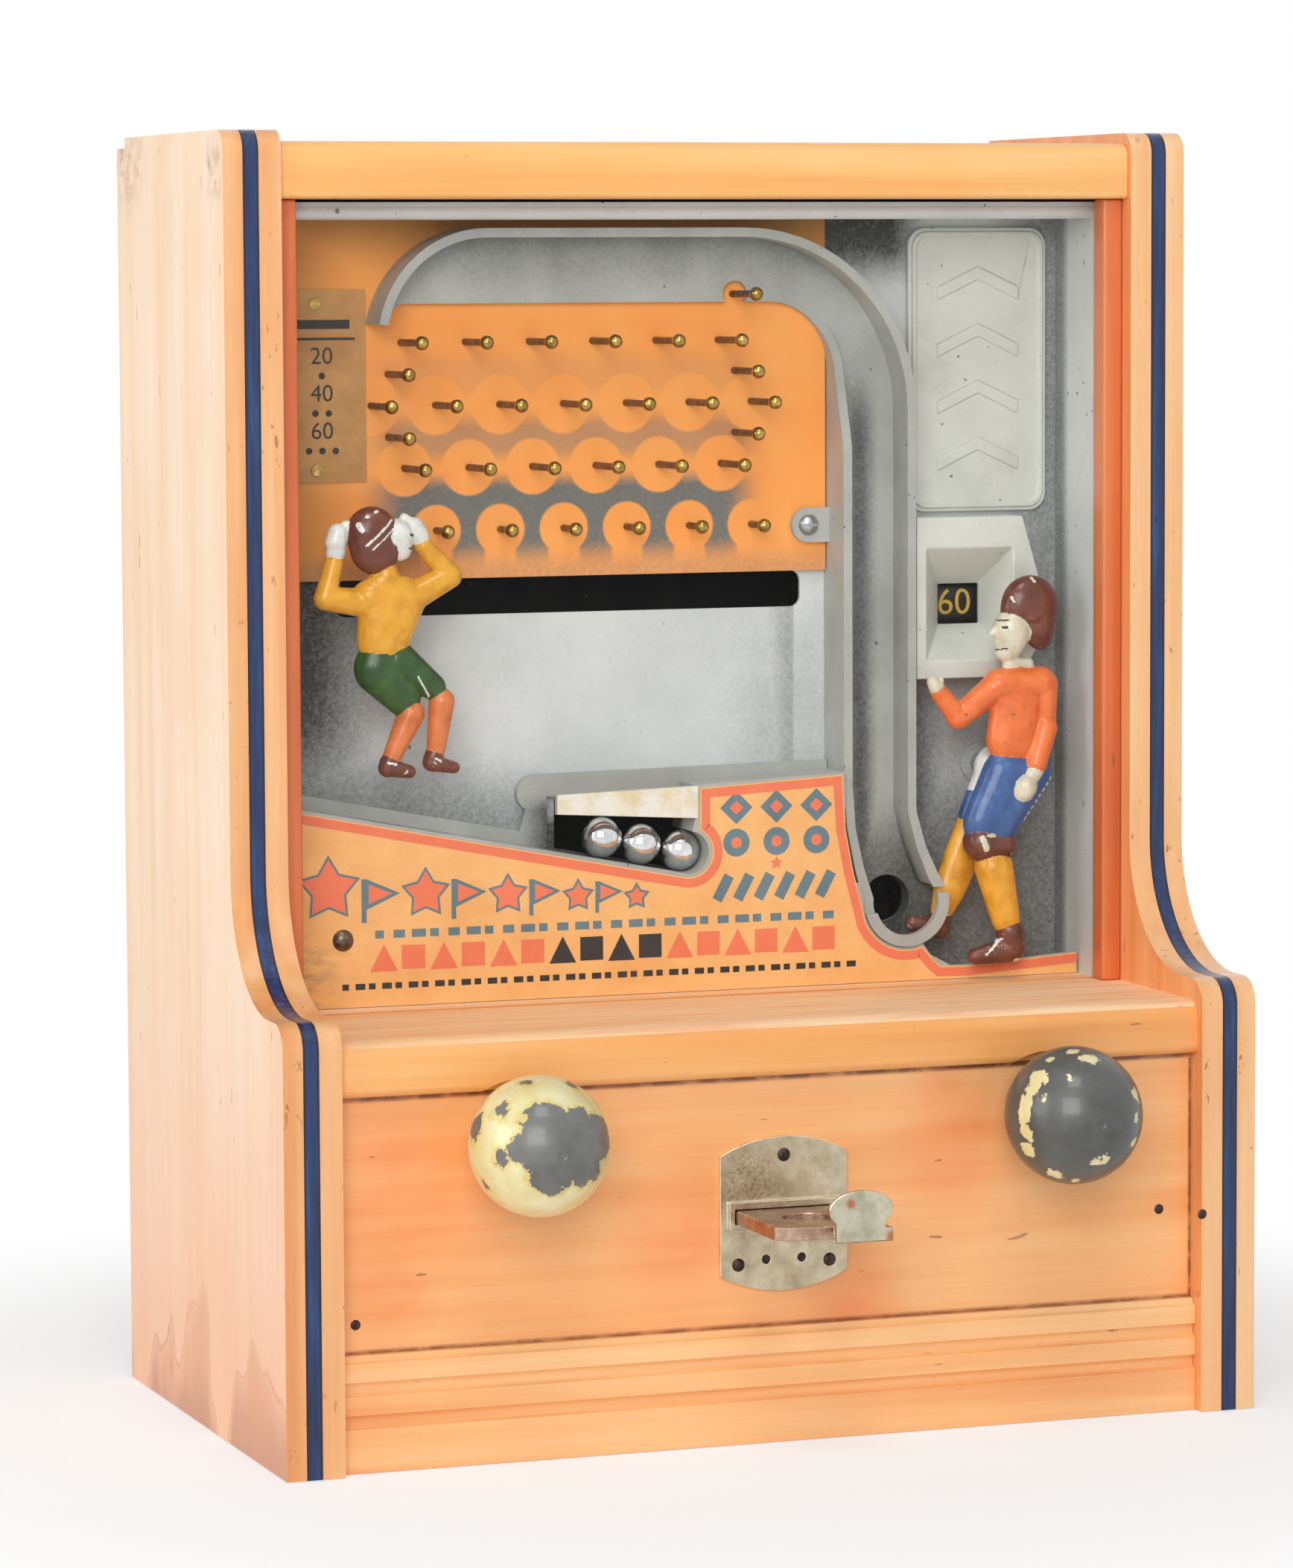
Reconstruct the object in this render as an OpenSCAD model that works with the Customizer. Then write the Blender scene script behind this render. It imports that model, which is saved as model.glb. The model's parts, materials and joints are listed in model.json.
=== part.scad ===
/* [Cabinet] */
// Width over the two side panels
cab_w = 381; // [360:1:420]
// Height of the side panels
cab_h = 482; // [456:1:530]
// Depth of the base
base_d = 216; // [206:1:236]
// Depth of the upper part
upper_d = 150; // [144:1:160]
// Thickness of a side panel
side_t = 22; // [18:0.5:26]
// Thickness of the back board
back_t = 12; // [9:0.5:16]
// Height of the shelf below the curved front edge
shelf_z = 164; // [160:1:172]
// Radius of the hollow curve in the front edge
curve_r = 48; // [34:1:54]
// Radius of the upper front corner of the base
corner_r = 10; // [4:0.5:16]
// Radius of the top front corner
top_r = 8; // [4:0.5:14]
// Width of the inlaid stripe
stripe_w = 6; // [3:0.5:9]
// Distance of the stripe from the outer face
stripe_in = 7.5; // [5:0.5:9]
// Depth of the stripe's groove
stripe_deep = 1.5; // [0.8:0.1:3]
// Height of the ledge's top face
ledge_z = 156; // [150:0.5:158]
// Thickness of the ledge
ledge_t = 20; // [16:0.5:22]
// Set-back of the ledge from the front of the base
ledge_back = 4; // [2:0.5:6]
// Radius of the ledge's upper front edge
ledge_r = 8; // [3:0.5:12]
// Set-back of the front panel from the front of the base
front_back = 10; // [8:0.5:14]
// Thickness of the front panel
front_t = 16; // [12:0.5:20]
// Height of the reeded moulding
mould_h = 42.5; // [36:0.5:48]
// Set-back of the moulding from the front of the base
mould_back = 5; // [3:0.5:7]
// Height of one reed
reed_h = 12; // [10:0.5:13]
// Depth of the groove between two reeds
reed_deep = 2.5; // [1:0.1:4]
// Thickness of the bottom board
bottom_t = 16; // [12:0.5:20]
// Height of the top rail
rail_h = 21; // [18:0.5:24]
// Depth of the top rail
rail_d = 24; // [22:0.5:30]
// Drop of the rail below the top of the panels
rail_down = 4; // [2:0.5:8]
// Set-back of the rail from the front of the upper part
rail_back = 3; // [1:0.5:5]
// Thickness of the top panel
top_t = 12; // [8:0.5:16]

/* [Window] */
// Set-back of the glass from the front of the upper part
glass_set = 18; // [16:0.5:20]
// Thickness of the glass
glass_t = 3; // [2:0.5:4]
// Depth of the groove that holds the foot of the glass
groove_low = 3; // [2:0.5:5]
// Depth of the groove above the glass
groove_top = 7; // [5:0.5:9]
// Play of the glass in its grooves
glass_gap = 0.4; // [0.2:0.1:0.8]
// Width of a glass stop
stop_w = 8; // [5:0.5:10]
// Depth of a glass stop
stop_d = 10; // [6:0.5:12]

/* [Playfield] */
// Inside depth of the metal tray
tray_d = 36.5; // [35:0.5:40]
// Sheet thickness of the tray
tray_t = 1.5; // [1:0.1:2]
// Room between a side panel and the inside of the tray
tray_in = 6; // [4:0.5:8]
// Width of a batten that carries the tray
batten_w = 7.5; // [6:0.5:8]
// Height of the rolled lip at the top of the tray
lip_h = 6.5; // [5:0.5:8]
// Thickness of the pin board
board_t = 3; // [2:0.5:4]
// Distance of the pin board's lower edge below the top of the tray
board_down = 141; // [139:0.5:142]
// Height of the catcher's slot
slot_h = 14; // [13:0.5:15]
// Length of the slot left of the catcher's stem
slot_room_l = 9; // [7:0.5:12]
// Length of the slot right of the stem at the end of its travel
slot_room_r = 20; // [8:0.5:22]
// Pitch of the pins in a row
pin_pitch = 25.4; // [24.5:0.1:26]
// Pitch of the pin rows
row_pitch = 23.6; // [22.8:0.1:24]
// First pin of the top row, from the middle
pin_x = -106.5; // [-108:0.5:-105]
// Distance of the top row below the top of the tray
pin_down = 52; // [50:0.5:54]
// Radius of a pin
pin_r = 1.35; // [1:0.05:1.6]
// Radius of a pin's head
head_r = 2.7; // [2:0.1:3]
// Length of a pin in front of the board
pin_len = 26; // [22:0.5:27]
// Length of a pin in the lowest row
low_pin_len = 14; // [10:0.5:15]
// Width of a score card
card_w = 39.5; // [34:0.5:40]
// Height of a score card
card_h = 72; // [60:1:80]
// Thickness of a card
card_t = 0.6; // [0.4:0.1:1]
// Room between the name plate and the tray's right side
plate_edge = 5.2; // [3:0.2:10]
// Room between the track and the name plate
plate_gap = 4.3; // [2:0.1:8]
// Height of the name plate
plate_h = 110; // [90:1:111]
// Distance of the name plate's upper edge below the top of the tray
plate_down = 9.5; // [8:0.5:12.5]
// Thickness of the name plate
plate_t = 2.5; // [1.5:0.5:4]

/* [Ball track] */
// Left face of the track from the tray's right side
track_in = 97.5; // [96:0.5:98]
// Thickness of the track's walls
track_wall = 3.5; // [2.5:0.5:4]
// Width of the channel
track_w = 23; // [22:0.5:23.5]
// Height of the track's walls over the pin board
track_h = 18; // [15:0.5:18.5]
// Thickness of the track's floor
track_floor = 3; // [2:0.5:4]
// Distance of the track's top face below the top of the tray
track_down = 9.4; // [9:0.2:12]
// Radius of the bend at the right
bend_r = 70; // [60:1:72]
// Radius of the bend at the left end
end_r = 43; // [36:1:46]
// Middle of the left bend from the middle
end_x = -78; // [-82:1:-74]
// Distance of the floor's lower edge below the top of the tray
floor_down = 37.5; // [36:0.5:39]
// Radius of the floor's inner bend
inner_r = 25; // [20:1:30]
// Middle of the kicking cup from the track's left face
cup_off = 25; // [24:0.5:26]
// Height of the kicking cup above the ledge
cup_up = 31; // [30:0.5:32]
// Inner radius of the kicking cup
cup_r = 13; // [12:0.5:13.5]
// Thickness of the cup's rim
cup_wall = 4.5; // [3.5:0.5:5]

/* [Balls] */
// Radius of a steel ball
ball_r = 7.95; // [7:0.05:8]
// Play of a ball on its ramp
ball_gap = 0.2; // [0.1:0.05:0.4]
// Slope of the ramp in degrees
ramp_a = 11; // [10:0.5:12]
// Height of the ramp above the ledge, at the middle
ramp_up = 45.3; // [44:0.1:46]
// Front face of the lower casting in front of the pin board
cast_h = 20; // [19:0.5:21]

/* [Controls] */
// Height of both knob shafts
knob_z = 119.5; // [117:0.5:121]
// Left shaft from the middle
knob_l = -102; // [-106:0.5:-98]
// Right shaft from the middle
knob_r = 106; // [102:0.5:110]
// Radius of a knob
knob_rad = 25.5; // [22:0.5:27]
// Distance of the middle of a knob's ball from the back of its collar
knob_out = 29.5; // [27:0.5:32]
// Radius of a knob's collar
collar_r = 15; // [12:0.5:17]
// Depth of a shaft in its knob
shaft_in = 20; // [12:0.5:26]
// Radius of the hollow in the ledge above a knob
hollow_r = 20.5; // [19:0.5:24]
// Radius of a knob shaft
shaft_r = 4.75; // [4:0.25:5.5]
// Radial play of a shaft in its bearing
run_gap = 0.06; // [0.02:0.01:0.1]
// Outer radius of a bearing bush
bush_r = 8; // [7:0.5:10]
// Lever pivot from the middle
lever_x = -44; // [-46:0.5:-42]
// Radius of a crank between its two holes
crank_r = 28; // [25:0.5:30]
// Catcher's place at rest from the middle
catch_x = -123; // [-124:0.5:-122]
// Travel of the catcher
catch_run = 158; // [150:1:158]
// Radius of the guide rods
rod_r = 3; // [2.5:0.25:3.5]
// Spacing of the guide rods
rod_gap = 28; // [26:1:32]
// Play between sliding pieces
slide_gap = 0.3; // [0.2:0.05:0.5]
// Hip pivot of the kicker from the track's left face
hip_off = 65; // [64:0.5:66]
// Height of the hip pivot above the ledge
hip_up = 82; // [81:0.5:83]
// Radius of the kick crank
kick_r = 24; // [22:0.5:25]

/* [Coin slide] */
// Middle of the coin plate from the middle
coin_x = 3; // [0:0.5:5]
// Middle height of the coin plate
coin_z = 84.5; // [82:0.5:87]
// Width of the coin plate
coin_w = 50; // [48:0.5:58]
// Height of the coin plate
coin_h = 57.5; // [52:0.5:62]
// Thickness of the coin plate
coin_t = 2; // [1.5:0.25:3]
// Width of the slide
slide_w = 40; // [32:0.5:42]
// Thickness of the slide
slide_t = 5; // [4:0.25:6]
// Width of the slide's finger tab
tab_w = 25; // [20:0.5:28]
// Height of the tab above the slide
tab_h = 14; // [12:0.5:18]
// Travel of the slide
slide_run = 50; // [40:1:52]
// Radius of a coin
coin_r = 9.7; // [9:0.1:12]

/* [Scoring] */
// Middle of the score window from the track's left face
win_off = 56; // [55:0.5:57]
// Distance of the score window's middle below the top of the tray
win_down = 155.5; // [154:0.5:157]
// Radius of the score drum
drum_r = 24; // [20:0.5:27]
// Width of the score drum
drum_w = 26; // [22:0.5:28]

/* [Rear door] */
// Width of the door opening
door_w = 280; // [240:1:290]
// Height of the door opening
door_h = 370; // [320:1:380]
// Height of the door's lower edge
door_z = 70; // [60:1:80]
// Gap round the door
door_gap = 1.5; // [1:0.1:2.5]
// Radius of the hinge knuckles
knuckle_r = 3.5; // [3:0.25:4.5]

/* [Hidden] */
$fn = 48;
fit = 0.1;
y_back = base_d / 2;
y_base = -base_d / 2;
y_up = y_back - upper_d;
side_back = y_back - back_t;
x_in = cab_w / 2 - side_t;
rail_z1 = cab_h - rail_down;
rail_z0 = rail_z1 - rail_h;
rail_y0 = y_up + rail_back;
rail_y1 = rail_y0 + rail_d;
front_y0 = y_base + front_back;
front_y1 = front_y0 + front_t;
ledge_y0 = y_base + ledge_back;
ledge_z0 = ledge_z - ledge_t;
floor_top = bottom_t;
glass_y0 = y_up + glass_set;
glass_y1 = glass_y0 + glass_t;
tray_y0 = glass_y1 + 0.5;
field_y = tray_y0 + tray_d;
field_back = field_y + tray_t;
x_tray = x_in - tray_in;
tray_z1 = rail_z0 - 1;
board_y = field_y - board_t;
board_z = tray_z1 - board_down;
slot_z0 = board_z - slot_h;
slot_l = slot_room_l - catch_x;
slot_r = catch_x + catch_run + slot_room_r;
stem_z = board_z - slot_h / 2;
block_l = catch_x - 25.5;
block_r = catch_x + catch_run + 23;
pin_z = tray_z1 - pin_down;
track_x = x_tray - track_in;
track_top = tray_z1 - track_down;
floor_z = tray_z1 - floor_down;
board_r = track_x - 0.5;
cup_x = track_x + cup_off;
cup_z = ledge_z + cup_up;
ramp_z = ledge_z + ramp_up;
hip_x = track_x + hip_off;
hip_z = ledge_z + hip_up;
win_x = track_x + win_off;
win_z = tray_z1 - win_down;
track_y = board_y - track_h;
track_r = track_x + 2 * track_wall + track_w;
ch_l = track_x + track_wall;
ch_r = ch_l + track_w;
bend_c = [track_r - bend_r, track_top - bend_r];
end_c = [end_x, track_top - end_r];
low_z = cup_z + 45;
cup_c = [cup_x, cup_z];
cup_o = cup_r + cup_wall;
hole_c = [cup_x - 1.5, cup_z - 0.5];
hole_r = ball_r + 1.5;
ear_c = [track_x - 8.6, board_z + 17.6];
cast_y = board_y - cast_h;
cast_l = -x_tray + 0.5;
cast_r = x_tray - 0.5;
ball_d = [for (i = [0:2]) 0.5 - 15.75 * i];
seat_r = ball_r + ball_gap;
ball_y = field_y - 3 - seat_r - 0.8;
card_screw = [-137.5, ledge_z + 25.7];
catch_k = min(1, (stem_z - ledge_z - 84.6) / 65.4);
knob_y = front_y0 - 2.5;
brk_y0 = field_back + 10.5;
brk_y1 = brk_y0 + 4;
arm_y0 = brk_y1 + 6;
arm_y1 = arm_y0 + 4;
link_y0 = arm_y1 + 2;
link_y1 = link_y0 + 3;
pin_end = link_y1 + 1;
arm_l = stem_z - knob_z;
lever_a = atan(catch_run / 2 / arm_l);
rod_y = field_back + 10.5;
car_y0 = field_back + 4.5;
car_y1 = car_y0 + 12;
crank_rod = 3;
kick_dir = atan2(hip_z - knob_z, hip_x - knob_r);
kick_len = norm([hip_x - knob_r, hip_z - knob_z]);
kick_a = kick_dir - 100;
slide_z0 = coin_z - slide_t / 2;
slide_in = front_y1 + 42;
tab_y = front_y0 - 60;
house_y1 = front_y1 + 62;
house_h = 17;
drum_y = field_back + 2 + drum_r;
hinge_x = -door_w / 2;
hinge_y = y_back + knuckle_r;
lock_x = door_w / 2 - 22;
lock_z = door_z + door_h / 2;

function arc(c, r, a0, a1, n = 12) = [for (i = [0:n])
    let (a = a0 + (a1 - a0) * i / n) c + r * [cos(a), sin(a)]];
function back(p) = [for (i = [len(p) - 1:-1:0]) p[i]];
function up(v) = ledge_z + v;
function ramp(x) = ramp_z - tan(ramp_a) * x;
function ball_h(x) = ramp(x) + seat_r / cos(ramp_a);
function side_pts(i, e) = concat(
    [[side_back + e, -e], [side_back + e, cab_h - i]],
    arc([y_up + top_r, cab_h - top_r], top_r - i, 90, 180),
    arc([y_up - curve_r, shelf_z + curve_r], curve_r + i, 0, -90, 20),
    arc([y_base + corner_r, shelf_z - corner_r], corner_r - i, 90, 180),
    [[y_base + i, -e]]);

// Extrude an x-z outline from y0 to y1
module ybox(y0, y1) {
    translate([0, y1, 0])
        rotate([90, 0, 0])
            linear_extrude(y1 - y0) children();
}

// Extrude a y-z outline from x0 to x1
module xbox(x0, x1) {
    translate([x0, 0, 0])
        rotate([90, 0, 90])
            linear_extrude(x1 - x0) children();
}

// Round bar along Y between y0 and y1
module yrod(x, z, y0, y1, r) {
    translate([x, y1, z])
        rotate([90, 0, 0])
            cylinder(r = r, h = y1 - y0);
}

// Round bar along X between x0 and x1
module xrod(x0, x1, y, z, r) {
    translate([x0, y, z])
        rotate([0, 90, 0])
            cylinder(r = r, h = x1 - x0);
}

// Block from one corner to the other
module block(a, b) {
    translate(a) cube(b - a);
}

// Rectangle with round corners
module round_rect(x0, z0, x1, z1, r) {
    polygon(concat(arc([x1 - r, z1 - r], r, 0, 90, 6), arc([x0 + r, z1 - r], r, 90, 180, 6),
        arc([x0 + r, z0 + r], r, 180, 270, 6), arc([x1 - r, z0 + r], r, 270, 360, 6)));
}

// Tapered limb with round ends
module limb(p, q, r1, r2) {
    hull() {
        translate(p) sphere(r = r1, $fn = 16);
        translate(q) sphere(r = r2, $fn = 16);
    }
}

// Flat arm with round ends from the origin along +X
module arm(len, r1, r2) {
    polygon([[0, -r1], [len, -r2], [len, r2], [0, r1]]);
    circle(r = r1);
    translate([len, 0]) circle(r = r2);
}

module side_panel() {
    difference() {
        xbox(0, side_t) polygon(side_pts(0, 0));
        xbox(stripe_in, stripe_in + stripe_w) difference() {
            polygon(side_pts(-1, 1));
            polygon(side_pts(stripe_deep, 3));
        }
        for (z = screw_z) yrod(side_t / 2, z, side_back - 22, side_back + 1, 2);
    }
}

module edge_inlay() {
    xbox(stripe_in + fit, stripe_in + stripe_w - fit) difference() {
        polygon(side_pts(0, 0));
        polygon(side_pts(stripe_deep, 3));
    }
}

screw_z = [20, cab_h / 3, cab_h * 2 / 3, cab_h - 22];

module left_side_panel() {
    color("#f3b27a") translate([-cab_w / 2, 0, 0]) side_panel();
}

module right_side_panel() {
    color("#f3b27a") translate([cab_w / 2, 0, 0]) mirror([1, 0, 0]) side_panel();
}

module edge_inlays() {
    color("#1f3566") {
        translate([-cab_w / 2, 0, 0]) edge_inlay();
        translate([cab_w / 2, 0, 0]) mirror([1, 0, 0]) edge_inlay();
    }
}

module top_rail() {
    color("#fbb673") difference() {
        xbox(-x_in, x_in) polygon(concat(
            [[rail_y1, rail_z0], [rail_y1, rail_z1]],
            arc([rail_y0 + 5, rail_z1 - 5], 5, 90, 180, 8),
            arc([rail_y0 + 2, rail_z0 + 2], 2, 180, 270, 6)));
        block([-x_in + 1, glass_y0 - glass_gap, rail_z0 - 1],
            [x_in - 1, glass_y1 + glass_gap, rail_z0 + groove_top]);
    }
}

module top_panel() {
    color("#f3b27a") block([-x_in, rail_y1, rail_z1 - top_t], [x_in, side_back, rail_z1]);
}

module base_ledge() {
    color("#f5a873") difference() {
        xbox(-x_in, x_in) polygon(concat(
            [[field_back, ledge_z0], [field_back, ledge_z]],
            arc([ledge_y0 + ledge_r, ledge_z - ledge_r], ledge_r, 90, 180, 10),
            arc([ledge_y0 + 3, ledge_z0 + 3], 3, 180, 270, 6)));
        block([-x_in + 1, glass_y0 - glass_gap, ledge_z - groove_low],
            [x_in - 1, glass_y1 + glass_gap, ledge_z + 1]);
        for (x = [knob_l, knob_r]) yrod(x, knob_z, ledge_y0 - 1, front_y0, hollow_r);
    }
}

module front_panel() {
    color("#f5a873") difference() {
        block([-x_in, front_y0, mould_h], [x_in, front_y1, ledge_z0]);
        for (x = [knob_l, knob_r]) yrod(x, knob_z, front_y0 - 1, front_y1 + 1, bush_r);
        block([coin_x - slide_w / 2 - 2, front_y0 - 1, coin_z - house_h / 2],
            [coin_x + slide_w / 2 + 2, front_y1 + 1, coin_z + house_h / 2]);
        for (p = rivet_at) yrod(p[0], p[1], front_y0 - 1, front_y0 + 8, 1.6);
    }
}

module base_moulding() {
    color("#f5a873") xbox(-x_in, x_in) difference() {
        translate([y_base + mould_back, 0]) square([front_y1 - y_base - mould_back, mould_h]);
        for (i = [0:2]) translate([y_base + mould_back, mould_h - reed_h * i]) circle(r = reed_deep);
    }
}

module bottom_board() {
    color("#c9925c") block([-x_in, front_y1, 0], [x_in, side_back, floor_top]);
}

module back_board() {
    color("#f0b384") difference() {
        block([-cab_w / 2, side_back, 0], [cab_w / 2, y_back, rail_z1]);
        block([-door_w / 2, side_back - 1, door_z], [door_w / 2, y_back + 1, door_z + door_h]);
        for (x = [-1, 1], z = screw_z) {
            yrod(x * (cab_w / 2 - side_t / 2), z, side_back - 1, y_back + 1, 2);
            yrod(x * (cab_w / 2 - side_t / 2), z, y_back - 1.2, y_back + 1, 4.1);
        }
        for (z = hinge_at) leaf_holes(hinge_x, -1, z);
    }
}

hinge_at = [door_z + 55, door_z + door_h - 55];

module leaf_holes(x, s, z) {
    for (dz = [-12, 12]) yrod(x + s * 13, z + dz, y_back - 9, y_back + 1, 1.5);
}

module glass_stops() {
    color("#e8763c") for (s = [-1, 1]) translate([s * (x_in - stop_w / 2), 0, 0])
        block([-stop_w / 2, glass_y0 - glass_gap - stop_d, ledge_z],
            [stop_w / 2, glass_y0 - glass_gap, rail_z0]);
}

module front_glass() {
    color("#d8e6ea") block([-x_in + 2, glass_y0, ledge_z - groove_low],
        [x_in - 2, glass_y1, rail_z0 + groove_top - 3]);
}

module tray_battens() {
    color("#c9925c") for (s = [-1, 1]) translate([s * (x_in - batten_w / 2), 0, 0])
        block([-batten_w / 2, field_back, ledge_z], [batten_w / 2, field_back + 18, tray_z1 - 4]);
}

module playfield_tray() {
    color("#9da19d") {
        difference() {
            block([-x_tray - tray_t, field_y, ledge_z], [x_tray + tray_t, field_back, tray_z1]);
            ybox(field_y - 1, field_back + 1) {
                round_rect(-slot_l, slot_z0, slot_r, board_z, 4);
                translate(hole_c) circle(r = hole_r);
                translate([hip_x, hip_z]) circle(r = shaft_r + 2);
                translate([win_x - 9, win_z - 8.5]) square([18, 17]);
                polygon([[-46, ramp(-46) + 0.6], [1, ramp(1) + 0.6], [6.6, up(56)], [3, up(73)], [-46, up(74)]]);
            }
        }
        for (s = [-1, 1]) translate([s * (x_tray + tray_t / 2), 0, 0])
            block([-tray_t / 2, tray_y0, ledge_z], [tray_t / 2, field_y, tray_z1]);
        block([-x_tray, tray_y0, tray_z1 - tray_t], [x_tray, field_y, tray_z1]);
        xrod(-x_tray, x_tray, tray_y0 + lip_h / 2, tray_z1 - lip_h / 2, lip_h / 2);
    }
}

pin_list = concat(
    [for (i = [0:5]) [pin_x + i * pin_pitch, pin_z, pin_len]],
    [for (i = [0:6]) [pin_x - 12 + i * pin_pitch, pin_z - row_pitch, pin_len]],
    [for (i = [0:5]) [pin_x + 1 + i * pin_pitch, pin_z - 2 * row_pitch, pin_len]],
    [for (i = [1:6]) [pin_x - 12 + i * pin_pitch, pin_z - 3 * row_pitch, low_pin_len]],
    [for (k = [0.5, 1.5], x = [pin_x - 5.2, pin_x + 5.26 * pin_pitch])
        [x, pin_z - k * row_pitch, pin_len]],
    [[pin_x + 5.23 * pin_pitch, pin_z + 0.74 * row_pitch, pin_len]]);

module pin_board() {
    color("#f6985a") difference() {
        block([-x_tray + 0.3, board_y, board_z], [board_r, field_y, tray_z1 - tray_t - 1]);
        for (p = pin_list) yrod(p[0], p[1], board_y - 1, field_y + 1, pin_r);
        yrod(ear_c[0], ear_c[1], board_y - 1, field_y + 1, 1.6);
        for (z = nail_z) yrod(nail_x, z, board_y - 1, field_y + 1, 0.8);
    }
}

module scoring_pins() {
    color("#a88b45") for (p = pin_list) {
        yrod(p[0], p[1], board_y - p[2], field_y, pin_r);
        translate([p[0], board_y - p[2], p[1]]) sphere(r = head_r);
    }
}

// Outline of the outer wall, its face moved in by i
function wall_pts(i) = concat(arc(end_c, end_r - i, 170, 90, 14), arc(bend_c, bend_r - i, 90, 0, 20),
    [[track_r - i, low_z]]);

module track_walls() {
    polygon(concat(wall_pts(0), back(wall_pts(track_wall))));
    polygon(concat([[ch_l, low_z], [track_x, low_z]],
        arc([track_x - inner_r, floor_z - inner_r], inner_r, 0, 60, 10),
        back(arc([track_x - inner_r, floor_z - inner_r], inner_r + track_wall, 0, 60, 10))));
    difference() {
        track_low();
        track_inside();
    }
}

module track_low() {
    polygon([[track_x, low_z], [track_r, low_z], [track_r, cup_z + 35], [track_r + 4, cup_z + 21],
        [cup_x + 16, cup_z + 6], [cup_x + 8, cup_z], [cup_x - 16, cup_z - 3], [track_x + 4.5, cup_z + 13],
        [track_x + 1.2, cup_z + 29]]);
    translate(cup_c) circle(r = cup_o);
}

module track_inside() {
    polygon([[ch_l, low_z + 1], [ch_r, low_z + 1], [ch_r, cup_z + 35], [ch_r + 3.5, cup_z + 21],
        [cup_x + 11.5, cup_z + 5], [cup_x + 6, cup_z], [cup_x - 12.4, cup_z], [track_x + 8, cup_z + 14],
        [track_x + 4.7, cup_z + 29]]);
    translate(cup_c) circle(r = cup_r);
    translate([cup_x + 4, cup_z]) square([20, 5]);
}

module track_flat() {
    polygon(concat(wall_pts(0), [[track_x, low_z]],
        arc([track_x - inner_r, floor_z - inner_r], inner_r, 0, 90, 10), [[-107, floor_z]]));
    track_low();
}

module ball_track() {
    color("#a9ada9") difference() {
        union() {
            difference() {
                ybox(track_y, board_y) track_walls();
                translate([track_x - inner_r - 30, 0, 0]) xbox(0, inner_r + 30 + track_wall + 4) polygon([
                    [track_y - 1, floor_z - 56], [track_y, floor_z - 56],
                    [board_y - track_floor, floor_z - 8], [board_y - track_floor, floor_z + 4],
                    [track_y - 1, floor_z + 4]]);
            }
            ybox(board_y - track_floor, board_y) track_flat();
            ybox(board_y, field_y) intersection() {
                track_flat();
                translate([track_x, 0]) square([200, cab_h]);
            }
            ybox(track_y - 3, track_y) difference() {
                translate(cup_c) circle(r = cup_o);
                translate(cup_c) circle(r = cup_r);
                translate([cup_x - 30, cup_z + 3]) square([60, 30]);
                translate([cup_x - 30, cup_z - 4]) square([30, 30]);
            }
            ybox(board_y - track_floor, board_y) {
                translate(ear_c) circle(r = 6.7);
                translate([ear_c[0], ear_c[1] - 6.7]) square([track_x + 1 - ear_c[0], 13.4]);
            }
        }
        yrod(hole_c[0], hole_c[1], board_y - track_floor - 1, field_y + 1, hole_r);
        yrod(ear_c[0], ear_c[1], board_y - track_floor - 1, board_y + 1, 1.6);
        block([cup_x - 4, track_y + 0.3, cup_z - 22], [cup_x + 30, board_y - track_floor, cup_z + 6]);
        translate([pin_list[len(pin_list) - 1][0], 0, pin_list[len(pin_list) - 1][1]])
            yrod(0, 0, track_y - 1, board_y + 1, 5);
    }
}

module track_room() {
    translate([track_x - slide_gap, cup_z + 8]) square([track_w + 2 * track_wall + 40, 200]);
    translate(cup_c) circle(r = cup_o + slide_gap);
    translate([track_x + 1, cup_z + 12]) square([60, 60]);
    polygon([[track_x - slide_gap, cup_z + 53], [track_x - slide_gap, low_z], [track_x + 0.8, cup_z + 29],
        [track_x + 4.1, cup_z + 13], [cup_x - 16.4, cup_z - 3.2], [cup_x + 10, cup_z - 3],
        [cup_x + 10, cup_z + 53]]);
}

module pocket() {
    c = [ball_d[0], ball_h(ball_d[0])];
    polygon(concat([[-200, ramp(-200)]], arc(c, seat_r, -90 - ramp_a, 80, 14), [[3.6, up(68)], [3.6, up(104)],
        [-200, up(104)]]));
}

module lower_casting() {
    color("#b4b8b3") difference() {
        union() {
            ybox(cast_y, field_y) difference() {
                polygon([[cast_l, ledge_z], [cup_x + 22, ledge_z], [cup_x + 22, up(3.5)], [cup_x + 10, up(10)],
                    [track_x + 1, up(59)], [track_x - slide_gap, up(82.2)], [3, up(79)], [cast_l, up(94)]]);
                pocket();
                track_room();
            }
            ybox(cast_y, cast_y + 2.3) {
                polygon([[-52.7, up(69.8)], [4, up(66.4)], [4, up(79)], [-52.7, up(77.4)]]);
                polygon([[cup_x + 10, ledge_z], [cast_r, ledge_z], [cast_r, up(8.5)], [cup_x + 25, up(5.3)],
                    [cup_x + 12, up(5.5)], [cup_x + 10, up(7)]]);
            }
            ybox(field_y - 3.5, field_y) difference() {
                polygon(concat([[cast_l, ramp(cast_l) - 2], [track_x - slide_gap, ramp(track_x) - 2],
                    [track_x - slide_gap, up(85.4)], [-52, up(83.4)]],
                    arc([-55, up(76.4)], 7, 90, 240, 10), [[-61, ramp(-61) + 5], [cast_l, ramp(cast_l) + 5]]));
                polygon([[-50, ramp(-50)], [2, ramp(2)], [8, up(56)], [3, up(74)], [-50, up(75)]]);
            }
        }
        yrod(card_screw[0], card_screw[1], cast_y - 1, cast_y + 14, 1.6);
    }
}

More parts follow.
